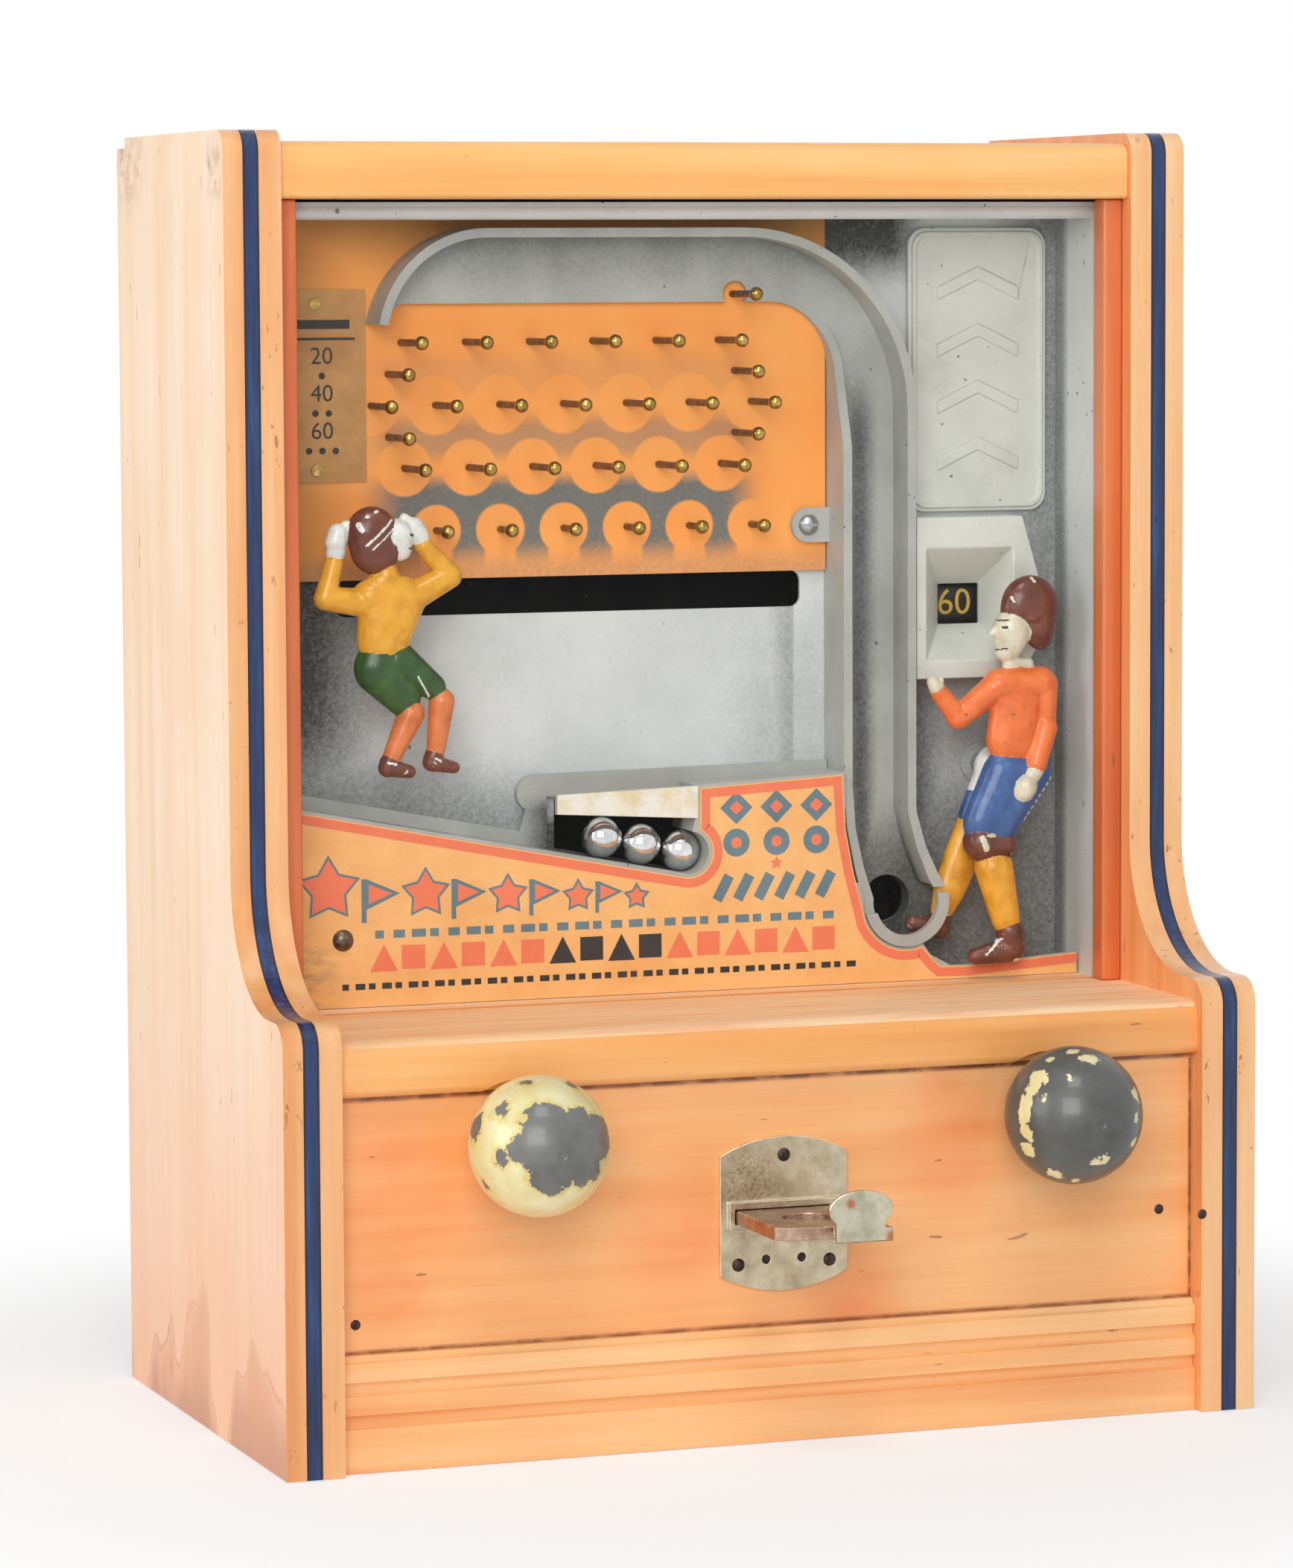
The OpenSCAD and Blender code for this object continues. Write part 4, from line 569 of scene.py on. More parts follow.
def turned(profile, centre, axis, steps=72):
    """A lathe form: profile is (radius, height) in mm, height along the axis from centre."""
    form = bmesh.new()
    turn = Vector(axis).to_track_quat("Z", "Y").to_matrix()
    angles = [2 * math.pi * i / steps for i in range(steps)]
    rows = []
    for r, h in profile:
        ring = [Vector((r * math.cos(a), r * math.sin(a), h)) for a in angles]
        rows.append([form.verts.new((Vector(centre) + turn @ p) * MM) for p in ring])
    for a, b in zip(rows, rows[1:]):
        for i in range(steps):
            j = (i + 1) % steps
            form.faces.new((a[i], a[j], b[j], b[i]))
    form.faces.new(rows[0])
    form.faces.new(rows[-1])
    bmesh.ops.recalc_face_normals(form, faces=form.faces)
    return form


def limb_form(p, q, r1, r2, flat):
    """A limb between two round ends, flattened along Y; points are (x, y, z) in mm."""
    form = bmesh.new()
    for at, r in ((p, r1), (q, r2)):
        squeeze = Matrix.Translation(Vector(at) * MM) @ Matrix.Diagonal((1, flat, 1, 1))
        bmesh.ops.create_icosphere(form, subdivisions=3, radius=r * MM, matrix=squeeze)
    hull = bmesh.ops.convex_hull(form, input=form.verts)
    spare = {e for e in hull["geom_interior"] + hull["geom_unused"] if isinstance(e, bmesh.types.BMVert)}
    bmesh.ops.delete(form, geom=list(spare), context="VERTS")
    return form


def from_limb(at, p, q, r1, r2, flat):
    """Distance of points from a flattened limb's surface."""
    scale = np.array((1, 1 / flat, 1))
    a, b, c = np.array(p) * scale, np.array(q) * scale, at * scale
    along = b - a
    t = np.clip((c - a) @ along / max(along @ along, 1e-9), 0, 1)
    return np.linalg.norm(c - a - t[:, None] * along, axis=1) - (r1 + (r2 - r1) * t)


def cast_figure(name, limbs, strokes, finishes, origin, depth, middle, back, body, node):
    """Limbs melted into one casting with a flat back, each face painted as its limb is, then brush strokes.

    A limb is (paint, end, end, radius, radius) with ends (x, z) or (x, z, y) from the origin, in mm."""
    def placed(p):
        return (origin[0] + p[0], p[2] if len(p) > 2 else middle, origin[1] + p[1])

    solid = [(placed(p), placed(q), r1, r2, min(1.0, depth / max(r1, r2))) for _, p, q, r1, r2 in limbs]
    obj = work_piece(name, as_mesh(name, [limb_form(*limb) for limb in solid]))
    melt = obj.modifiers.new("melt", "REMESH")
    melt.mode = "VOXEL"
    melt.voxel_size = 0.5 * MM
    ease = obj.modifiers.new("ease", "SMOOTH")
    ease.factor = 0.5
    ease.iterations = 5
    mesh = finished(obj)
    for v in mesh.vertices:
        v.co.y = min(v.co.y, back(v.co.z / MM) * MM)
    at = np.array([p.center for p in mesh.polygons]) / MM
    paint = np.array([limb[0] for limb in limbs])[np.argmin([from_limb(at, *limb) for limb in solid], axis=0)]
    flat_at = at * (1, 0, 1)
    for colour, p, q, width in strokes:
        near = from_limb(flat_at, placed((*p, 0)), placed((*q, 0)), width, width, 1.0) < 0
        paint[near & (at[:, 1] < middle + 1)] = colour
    piece(name, mesh, finishes, body, node, smooth=None)
    mesh.shade_smooth()
    mesh.polygons.foreach_set("material_index", paint.astype(np.int32))


def flat_form(outlines, y):
    """Inked shapes on a face that looks to -Y: outlines are (x, z) lists in mm."""
    form = bmesh.new()
    for points in outlines:
        area = sum(a[0] * b[1] - b[0] * a[1] for a, b in zip(points, points[1:] + points[:1]))
        form.faces.new([form.verts.new((x * MM, y * MM, z * MM)) for x, z in (points if area > 0 else points[::-1])])
    form.normal_update()
    bmesh.ops.triangulate(form, faces=form.faces)
    return form


def numeral_form(text, size_mm, place):
    """Plain numerals whose points go through place(x, z) -> (x, y, z), all in mm."""
    curve = bpy.data.curves.new("numeral", "FONT")
    curve.body = text
    curve.size = size_mm
    curve.align_x = "CENTER"
    curve.align_y = "CENTER"
    curve.resolution_u = 4
    obj = bpy.data.objects.new("numeral", curve)
    scene.collection.objects.link(obj)
    mesh = finished(obj)
    form = bmesh.new()
    form.from_mesh(mesh)
    bpy.data.meshes.remove(mesh)
    bmesh.ops.subdivide_edges(form, edges=[e for e in form.edges if e.calc_length() > 1.5], cuts=2)
    bmesh.ops.triangulate(form, faces=form.faces)
    for v in form.verts:
        v.co = Vector(place(v.co.x, v.co.y)) * MM
    return form


def arc(cx, cz, r, a0, a1, n):
    """Points along an arc, its angles in degrees."""
    turns = [math.radians(a0 + (a1 - a0) * i / n) for i in range(n + 1)]
    return [(cx + r * math.cos(a), cz + r * math.sin(a)) for a in turns]


def star(cx, cz, r, inner=0.45):
    """A five-pointed star, one point up."""
    tips = [(inner * r if i % 2 else r, math.radians(90 + 36 * i)) for i in range(10)]
    return [(cx + d * math.cos(a), cz + d * math.sin(a)) for d, a in tips]


def rule(x0, z0, x1, z1, width):
    """A straight printed rule between two points."""
    dx, dz = x1 - x0, z1 - z0
    k = width / 2 / math.hypot(dx, dz)
    return [(x0 - dz * k, z0 + dx * k), (x0 + dz * k, z0 - dx * k),
            (x1 + dz * k, z1 - dx * k), (x1 - dz * k, z1 + dx * k)]


def ribbon(path, near, far):
    """Quads between two lines that run beside a path, near and far mm to its right, mitred at each turn."""
    ways = [(Vector(b) - Vector(a)).normalized() for a, b in zip(path, path[1:])]
    sides = []
    for i, at in enumerate(path):
        before, after = ways[max(i - 1, 0)], ways[min(i, len(ways) - 1)]
        middle = (before + after).normalized()
        out = Vector((middle.y, -middle.x)) / max(middle.dot(after), 0.4)
        sides.append([tuple(Vector(at) + out * d) for d in (near, far)])
    return [[a[0], a[1], b[1], b[0]] for a, b in zip(sides, sides[1:])]


def ramp_at(x):
    """Height of the ball ramp at x, in mm."""
    return RAMP_Z - RAMP_K * x


def on_ramp(x):
    """Height of the centre of a ball that lies on the ramp at x, in mm."""
    return ramp_at(x) + (BALL_R + 0.2) / math.cos(math.radians(RAMP_A))


def growth(label, sizes, finishes):
    """A new geometry tree with named sizes and materials: the tree, the function that adds to it and its inputs."""
    tree = bpy.data.node_groups.new(label, "GeometryNodeTree")
    kinds = {"Geometry": "NodeSocketGeometry"}
    kinds.update({name: "NodeSocketFloat" for name in sizes})
    kinds.update({name: "NodeSocketMaterial" for name in finishes})
    for name, kind in kinds.items():
        tree.interface.new_socket(name=name, in_out="INPUT", socket_type=kind)
    tree.interface.new_socket(name="Geometry", in_out="OUTPUT", socket_type="NodeSocketGeometry")
    put = functools.partial(add, tree)
    return tree, put, put("NodeGroupInput").node.outputs


def close_growth(put, forms):
    """Ends a geometry tree: each form is made real and given its finish, then all are joined."""
    joint = put("GeometryNodeJoinGeometry").node
    links = joint.id_data.links
    for form, finish in reversed(forms):
        real = put("GeometryNodeRealizeInstances", (form,))
        links.new(put("GeometryNodeSetMaterial", {"Geometry": real, "Material": finish}), joint.inputs[0])
    put("NodeGroupOutput", out=None, inputs=(joint.outputs[0],))


def brass_pin_tree():
    """A pin on each point: a shank as long as the point's own length, and a round head at its end."""
    tree, put, given = growth("brass_pins", ["Shank Radius", "Head Radius"], ["Finish", "Shank Finish"])
    length = put("GeometryNodeInputNamedAttribute", {"Name": "length"}, "Attribute", data_type="FLOAT")
    rod = put("GeometryNodeMeshCylinder", {"Vertices": 16, "Radius": given["Shank Radius"], "Depth": 1.0})
    rod = put("GeometryNodeTransform", {"Geometry": rod, "Translation": (0, 0, 0.5)})
    out_way = (math.pi / 2, 0, 0)
    shanks = put("GeometryNodeInstanceOnPoints", {
        "Points": given["Geometry"], "Instance": rod, "Rotation": out_way,
        "Scale": put("ShaderNodeCombineXYZ", (1.0, 1.0, length))})
    ends = put("GeometryNodeSetPosition", {"Geometry": given["Geometry"], "Offset": put(
        "ShaderNodeCombineXYZ", (0.0, put(MATH, (length, -1.0), **TIMES), 0.0))})
    head = put("GeometryNodeMeshUVSphere", {"Segments": 20, "Rings": 12, "Radius": given["Head Radius"]})
    heads = put("GeometryNodeInstanceOnPoints", {"Points": ends, "Instance": head, "Rotation": out_way})
    close_growth(put, [(shanks, given["Shank Finish"]), (heads, given["Finish"])])
    return tree


def dome_tree():
    """A low round head on each point, standing out along -Y."""
    tree, put, given = growth("dome_heads", ["Radius", "Height"], ["Finish"])
    ball = put("GeometryNodeMeshUVSphere", {"Segments": 20, "Rings": 12, "Radius": 1.0})
    size = put("ShaderNodeCombineXYZ", (given["Radius"], given["Height"], given["Radius"]))
    domes = put("GeometryNodeInstanceOnPoints", {"Points": given["Geometry"], "Instance": ball, "Scale": size})
    close_growth(put, [(domes, given["Finish"])])
    return tree


def grown(name, points, tree, lengths=None, **inputs):
    """Points in mm grown into a plain mesh by a geometry tree; its inputs are set by their identifiers."""
    mesh = bpy.data.meshes.new(name)
    mesh.from_pydata([Vector(p) * MM for p in points], [], [])
    if lengths:
        mesh.attributes.new("length", "FLOAT", "POINT").data.foreach_set("value", [v * MM for v in lengths])
    obj = work_piece(name, mesh)
    grow = obj.modifiers.new("grow", "NODES")
    grow.node_group = tree
    for item in tree.interface.items_tree:
        key = item.name.replace(" ", "_")
        if item.in_out == "INPUT" and key in inputs:
            grow[item.identifier] = inputs[key]
    return finished(obj)


# Woods, from bleached to red as sun and hands have left them, with the outer side faces, right edges and ledge top
# paler partly as painted light; black ones inside as painted shade behind the slot
side_maple = varnished_maple("varnished_maple_side", "#FFE3C4", "#FFDBB4", "#F9C899", "z", 0.0, 0.34, damp_foot)
edge_maple = varnished_maple("varnished_maple_edge", "#F2BD87", "#EBA96D", "#DF8C52", "z", 3.0, 0.28, edge_nicks)
pale_edge = varnished_maple("varnished_maple_pale_edge", "#FBCF9C", "#F6BD84", "#EAA164", "z", 3.0, 0.28, edge_nicks)
cheek_maple = varnished_maple("varnished_maple_cheek", "#F8B67C", "#F0A264", "#DF8446", "z", 4.0, 0.3, blotch=0.4)
rail_maple = varnished_maple("varnished_maple_rail", "#FCCB86", "#F9BE74", "#F0A556", "x", 6.0, 0.28)
front_maple = varnished_maple("varnished_maple_front", "#FBC284", "#F8B473", "#F29D59", "x", 7.0, 0.3, hand_wear)
mould_maple = varnished_maple("varnished_maple_moulding", "#FDCA90", "#FABB7C", "#F2A060", "x", 11.0, 0.3)
ledge_front = varnished_maple("varnished_maple_ledge", "#F9BC76", "#F5AC62", "#EC974E", "x", 6.0, 0.28)
ledge_maple = varnished_maple("sun_bleached_maple", "#FFE0B8", "#FFD4A2", "#FABC84", "x", 8.0, 0.6, red_streaks)
dark_maple = varnished_maple("black_stained_maple_inside", "#2A2522", "#1F1B19", "#141210", "z", 2.0, 0.7)
inner_maple = varnished_maple("raw_maple_inside", "#D9AE7E", "#C39262", "#A4744A", "z", 5.0, 0.6)
stop_maple = varnished_maple("red_stained_maple", "#E2874E", "#D8703A", "#B25126", "z", 9.0, 0.3, blotch=0.5)

# Paints: a dark glossy line along the edges, and cool dusted greys that set off the warm board; both carry some
# painted shade and shadow
navy = navy_enamel()
tray_grey = grey_enamel("airbrushed_grey_tray", "#D8DCDB", "#C8CDCB", "#30312D", 0.0, tray_airbrush)
cast_grey = grey_enamel("grey_enamel_casting", "#B8BBB5", "#A1A49D", "#3C3D39", 0.0, channel_airbrush)
plate_grey = grey_enamel("grey_enamel_plate", "#DADDD4", "#CDD0C6", "#96988F", 0.1)
orange_board = stencilled_enamel()

# Metals: bright points on balls and screws and a painted highlight on the coin plate's upper and left edges, dull or
# browned everywhere else
brass = metal("aged_brass", "#D9BF7A", "#A88B45", "#6A5426", 0.28, 3.0)
hinge_brass = metal("dull_brass", "#C2A667", "#967B42", "#5F4D2A", 0.42, 8.0)
steel = metal("satin_steel", "#D4D6D7", "#B4B7B9", "#8C8F91", 0.32, 14.0, 0.3)
dull_steel = metal("dull_zinc_steel", "#A8ABAC", "#8C9092", "#64686A", 0.5, 18.0)
dark_steel = metal("blackened_steel", "#3A3A3A", "#262626", "#151515", 0.55, 12.0, 0.4)
ball_steel = metal("polished_ball_steel", "#EDEEEF", "#D9DBDC", "#B5B8BA", 0.08, 6.0, 0.2)
nickel = metal("worn_nickel_plate", "#D8CCB2", "#C2B498", "#A2947A", 0.36, 9.0, 0.5)
nickel_edge = metal("rubbed_nickel_edge", "#FBF6E8", "#EFE8D6", "#CFC4AC", 0.22, 6.0, 0.3)
bronze = metal("worn_copper_slide", "#CFB8A6", "#AF917B", "#826A58", 0.34, 6.0, 0.5)
tab_silver = metal("silvered_tab", "#D2CEBA", "#C0BBA5", "#9E9880", 0.36, 7.0, 0.4, copper_spot)
pin_steel = metal("browned_pin_steel", "#8E8072", "#6C5F52", "#463C33", 0.42, 3.0)
rivet_dark = metal("browned_steel", "#6A5550", "#4A3B38", "#2B2220", 0.5, 3.0)

# Card, ink and glass: warm aged stock under flat worn colours, seen through an all but clear sheet
card_stock = printed("varnished_card_stock", "#FBC27C", "#EDAA60", 0.5, worn=handled_corner)
salmon_ink = printed("salmon_ink", "#F4835C", "#EA7350", 0.55)
blue_ink = printed("blue_grey_ink", "#6A8690", "#557079", 0.55)
black_ink = printed("black_ink", "#24211E", "#37322D", 0.55)
score_stock = printed("browned_score_card", "#CE9A5C", "#A0713D", 0.6)
shield_stock = printed("yellowed_shield", "#EEEDE2", "#D8B83C", 0.5, 10)
drum_black = printed("black_drum_enamel", "#1C1A18", "#2B2825", 0.4)
drum_yellow = printed("yellow_numeral_ink", "#D8B24C", "#B98F34", 0.5)
glass = window_glass()

# Cabinet
# The outer faces are paler than the front partly as painted light, and the right panel's edges paler as painted
# light
for name, edge in (("left_side_panel", edge_maple), ("right_side_panel", pale_edge)):
    softened(name, 2.4, [side_maple, edge, cheek_maple], pick=side_face)
dress(["edge_inlays"], navy)
softened("top_rail", 1.6, rail_maple)
# The ledge's top faces get a paler maple: a painted sheen, with red streaks in the varnish
softened("base_ledge", 1.2, [ledge_front, ledge_maple], 2, lambda face: face.normal.z > 0.7)
softened("front_panel", 0.8, front_maple, 2)
softened("base_moulding", 1.3, mould_maple)
softened("glass_stops", 1.2, stop_maple, 2)
# Faces looking into the cabinet are black: painted shade behind the slot
for name in ("back_board", "rear_door"):
    softened(name, 1.3, [side_maple, dark_maple], 2, lambda face: face.normal.y < -0.7)
softened("top_panel", 0.8, rail_maple, 2)
dress(["bottom_board", "tray_battens"], inner_maple)
dress(["front_glass"], glass)

# Playfield metal
softened("playfield_tray", 0.4, tray_grey, 2)
softened("pin_board", 0.3, orange_board, 2)
softened("ball_track", 1.1, cast_grey)
softened("lower_casting", 0.8, cast_grey, 2)
softened("name_plate", 0.7, plate_grey)
softened("score_bezel", 0.6, plate_grey, 2)
dress(["instruction_card"], card_stock)
dress(["ball_shield"], shield_stock)
dress(["score_card"], score_stock)
dress(["card_nails", "knob_bushes"], brass)
softened("playfield_screws", 0.25, [steel, pin_steel], 2, lambda face: face.center.x < 0)

# Scoring pins
rows = [[(PINS_X + i * PIN_PITCH, PINS_Z, PIN_LONG) for i in range(6)],
        [(PINS_X - ROW_SHIFT + i * PIN_PITCH, PINS_Z - ROW_PITCH, PIN_LONG) for i in range(7)],
        [(PINS_X + 1 + i * PIN_PITCH, PINS_Z - 2 * ROW_PITCH, PIN_LONG) for i in range(6)],
        [(PINS_X - ROW_SHIFT + i * PIN_PITCH, PINS_Z - 3 * ROW_PITCH, PIN_SHORT) for i in range(1, 7)],
        [(x, PINS_Z - k * ROW_PITCH, PIN_LONG)
         for k in (0.5, 1.5) for x in (PINS_X - 5.2, PINS_X + 5.26 * PIN_PITCH)],
        [(PINS_X + 5.23 * PIN_PITCH, PINS_Z + 0.74 * ROW_PITCH, PIN_LONG)]]
pins = [p for row in rows for p in row]
pin_mesh = grown("scoring_pins", [(x, BOARD_Y, z) for x, z, h in pins], brass_pin_tree(), [h for x, z, h in pins],
                 Shank_Radius=1.35 * MM, Head_Radius=2.7 * MM, Finish=brass, Shank_Finish=pin_steel)
piece("scoring_pins_finished", pin_mesh, [], node="scoring_pins")

# Balls
spheres = []
for x in BALL_X:
    ball = bmesh.new()
    bmesh.ops.create_uvsphere(ball, u_segments=48, v_segments=28, radius=BALL_R * MM,
                              matrix=Matrix.Translation(Vector((x, BALL_Y, on_ramp(x))) * MM))
    spheres.append(ball)
piece("steel_balls_finished", spheres, ball_steel, "balls", "steel_balls", smooth=180)

# Knobs: a turned ball on a narrower collar, with a small centre mark in front
angles = [math.radians(a) for a in range(-53, 86, 3)]
ball = [(KNOB_R * math.cos(a), KNOB_OUT + KNOB_R * math.sin(a)) for a in angles]
dimple = [(r, KNOB_OUT + h) for r, h in ((1.9, 25.43), (1.6, 25.15), (0.9, 25.05), (0.1, 25.05))]
profile = [(5.2, 0.0), (14.0, 0.0), (14.8, 0.3), (15.0, 1.0), (15.0, 8.4)] + ball + dimple
palm_patch = [(-2, 3, 13.5), (8, 4, 12), (17, 5, 8), (-6, 12, 8), (-4, -7, 8), (-14, 3, 5), (11, -6, 6.5)]
rim_nicks = [(-18, 15, 3.2), (-20, -1, 2.6), (-24.6, 8, 5), (-7, 24, 2.4), (10, 22.6, 2.6), (-22, -12, 2.2),
             (21, -13, 2)]
islands = [(-18, 16, 3.8), (-20.5, 12, 3.8), (-23, 7, 3.6), (-24, 2, 3.4), (-23.2, -4, 3.2), (-22, -10.4, 3.2),
           (-18.5, 9.5, 1.6), (-9, 17.4, 1.4), (0.8, 22.4, 3.2), (-3, 24.5, 2.2), (-12, 22, 1.8), (17.4, 9.5, 2.8),
           (16, 1, 1.8), (16.2, -8.5, 2), (3.4, -13.6, 2.2), (0.6, -14.6, 1.8), (-11.6, -20.2, 2.8),
           (-4.2, -22.6, 2)]
left_paint = chipped_enamel("chipped_cream_enamel", KNOB_LEFT, palm_patch + rim_nicks, [(-12.6, 13, 2)], 2,
                            ("#757672", "#5D5E5B"))
right_paint = chipped_enamel("flaked_cream_enamel", KNOB_RIGHT, [(0, 0, 70)], islands, 5, ("#5B5C59", "#474845"))
for name, x, finish in (("catcher_knob", KNOB_LEFT, left_paint), ("kick_knob", KNOB_RIGHT, right_paint)):
    piece(name + "_finished", [turned(profile, (x, KNOB_Y, KNOB_Z), (0, -1, 0), 96)], finish, name, name, smooth=40)

# Painted figures: paints are picked by number, limb ends are mm from the figure's own origin
brown = hand_paint("brown_enamel", "#7A4433", "#6B3A2A", "#552B1F", "#E3DCCB", 0.0)
worn_brown = hand_paint("rubbed_brown_enamel", "#7D4A39", "#6A3D2E", "#512B20", "#DDD3C2", 0.05)
white = hand_paint("white_enamel", "#F1F3EE", "#E2E5DD", "#C3C7BE", "#8C8D86", 0.02)
cream = hand_paint("flesh_cream_enamel", "#E6E2CC", "#D5D0B6", "#B5B097", "#8E8A78", 0.01)
ink_dark = hand_paint("dark_brush_lines", "#3A2A24", "#2A1E1A", "#1C1412")
yellow = hand_paint("mustard_enamel", "#EDB03A", "#E2A22B", "#C8861E")
green = hand_paint("green_enamel", "#3E6A2E", "#315422", "#213F17")
sock_orange = hand_paint("orange_enamel_socks", "#E58A52", "#DA7A42", "#C26432")
orange = hand_paint("orange_enamel_sweater", "#F38548", "#EB773B", "#D6632B", "#7A5A48", 0.012)
blue = hand_paint("blue_enamel", "#4A6EA6", "#3C5D94", "#2F4A7A")

catcher_limbs = [
    (0, (-3.4, 26.0), (-2.2, 20.0), 10.0, 9.6), (1, (6.6, 25.0), (7.6, 19.6), 6.2, 4.4),
    (1, (-16.6, 26.0), (-17.4, 22.5), 3.8, 4.1), (1, (-14.2, 27.0), (-13.4, 29.0), 2.2, 1.9),
    (1, (-17.2, 19.6), (-17.6, 18.6), 3.7, 3.6), (1, (13.0, 27.4), (15.2, 24.4), 4.2, 3.7),
    (1, (10.6, 30.2), (9.2, 31.4), 2.1, 1.8), (2, (-18.0, 15.4), (-21.6, 2.2), 3.5, 4.3),
    (2, (16.8, 20.6), (27.0, 9.6), 3.5, 4.4), (2, (-21.6, 1.9), (-8.0, 0.2), 4.5, 5.4),
    (2, (27.0, 9.3), (11.0, 1.4), 4.6, 5.8), (2, (-4.5, 2.2), (8.5, 3.0), 6.6, 6.8),
    (2, (1.5, 2.0), (0.8, -13.6), 10.2, 10.4), (2, (10.6, 1.4), (4.2, -11.6), 7.0, 7.6),
    (2, (2.4, 8.8), (2.2, 11.2), 4.8, 4.4),
    (3, (-0.2, -24.4), (8.0, -35.4), 10.6, 7.2), (3, (6.0, -22.4), (20.0, -32.0), 8.0, 5.0),
    (4, (11.4, -41.6), (4.0, -57.0), 5.2, 3.6), (4, (23.4, -37.4), (21.0, -55.0), 5.0, 3.7),
    (5, (2.6, -60.0), (1.9, -61.8), 3.8, 3.6), (5, (2.5, -61.7), (10.4, -63.4), 3.5, 2.6),
    (5, (20.0, -58.2), (19.1, -60.2), 3.8, 3.5), (5, (19.5, -60.5), (28.0, -62.4), 3.3, 2.3)]
catcher_strokes = [
    (1, (3.2, 30.8), (-7.2, 21.4), 0.42), (1, (3.4, 27.4), (-4.8, 20.0), 0.3), (1, (-9.8, 29.2), (-8.8, 27.4), 1.0),
    (1, (-6.8, 32.0), (-6.3, 32.2), 0.5), (1, (-3.2, 33.8), (-2.4, 34.0), 0.5), (1, (5.6, 24.4), (9.0, 24.6), 3.1),
    (6, (10.4, 25.2), (11.2, 25.0), 0.55), (6, (11.4, 20.2), (9.8, 19.9), 0.35),
    (1, (12.4, -27.6), (17.6, -35.4), 0.35), (1, (1.2, -59.6), (4.6, -60.4), 0.4),
    (1, (19.4, -58.4), (22.0, -59.6), 0.4)]
cast_figure("catcher_figure_finished", catcher_limbs, catcher_strokes,
            [brown, white, yellow, green, sock_orange, worn_brown, ink_dark],
            STEM, 6.8, FIG_Y, lambda z: FIG_BACK, "catcher", "catcher_figure")

SHOE_Y = -13.7
kicker_limbs = [
    (0, (9.4, 62.8), (8.8, 61.6), 11.8, 11.5), (0, (12.6, 55.0), (13.6, 50.6), 7.4, 5.2),
    (0, (-0.4, 58.8, -15.4), (9.0, 57.7, -18.8), 0.9, 1.0), (0, (9.0, 57.7, -18.8), (18.2, 57.0, -15.6), 1.0, 0.9),
    (1, (2.2, 54.0), (1.2, 47.8), 7.8, 5.6), (1, (-5.0, 53.6), (-6.6, 52.3), 1.7, 1.4),
    (1, (-1.8, 44.8), (-0.6, 44.2), 3.3, 3.4), (1, (-4.2, 48.4), (-4.0, 48.0), 1.3, 1.2),
    (1, (0.6, 40.0), (8.4, 40.2), 2.6, 2.6), (2, (-3.6, 32.4), (13.6, 32.6), 6.4, 6.6),
    (2, (4.2, 29.0), (1.8, 11.5), 10.8, 10.6), (2, (-6.0, 31.0), (-20.6, 20.2), 5.4, 4.7),
    (2, (-20.6, 20.2), (-28.4, 30.0), 4.5, 3.5), (1, (-29.6, 31.8), (-31.2, 34.2), 3.1, 2.4),
    (1, (-28.2, 33.6), (-27.8, 35.0), 1.6, 1.3), (2, (15.0, 32.0), (15.2, 15.2), 5.9, 4.9),
    (2, (15.2, 15.2, -14.2), (10.2, 1.2, -16.4), 4.9, 4.2), (1, (8.4, -2.8, -16.8), (9.4, -1.2, -16.8), 3.5, 3.6),
    (1, (5.2, -7.0, -17.2), (4.4, -8.6, -17.2), 4.9, 4.6), (3, (0.4, -3.6), (-8.4, -21.0), 11.3, 10.0),
    (3, (10.0, -2.4), (-4.4, -22.6), 8.6, 8.2),
    (5, (-11.0, -28.6), (-3.2, -29.6), 7.4, 6.8), (4, (-5.6, -38.6), (-1.2, -58.6, SHOE_Y), 7.8, 5.8),
    (5, (0.4, -63.6, SHOE_Y), (1.2, -70.4, SHOE_Y), 5.6, 5.4),
    (5, (0.4, -70.6, SHOE_Y), (-13.8, -72.8, SHOE_Y), 5.2, 3.3)]
kicker_strokes = [
    (6, (-3.4, 54.8), (-2.4, 54.9), 0.62), (6, (-4.6, 57.3), (-1.6, 57.6), 0.26),
    (6, (-4.6, 46.0), (-1.8, 46.5), 0.28), (1, (-12.8, -26.6), (-11.4, -30.6), 1.2),
    (1, (-10.4, -25.4), (-8.0, -25.6), 0.7), (0, (7.6, 74.0), (8.4, 73.2), 0.5),
    (7, (9.0, 73.4), (9.6, 72.2), 0.6), (7, (0.2, 66.4), (0.8, 64.6), 0.45),
    (7, (-11.0, -72.0), (-4.0, -66.0), 0.4), (7, (1.6, -74.6), (4.6, -74.8), 0.8)]
kicker_strokes += [(1, (16.6 - 1.5 * i, -4.0 - 2.2 * i), (16.2 - 1.5 * i, -4.5 - 2.2 * i), 0.62) for i in range(8)]
cast_figure("kicker_figure_finished", kicker_limbs, kicker_strokes,
            [brown, cream, orange, blue, yellow, worn_brown, ink_dark, white],
            HIP, 6.8, FIG_Y, lambda z: FIG_BACK if z > HIP[1] - 55 else -8.1, "cabinet", "kicker_figure")
post = [(4.0, 0.0), (4.0, 20.0), (6.0, 20.4), (6.0, 21.8)]
piece("kicker_post", [turned(post, (HIP[0] + 15, -5.8, HIP[1] + 3), (0, 1, 0), 40)], steel)

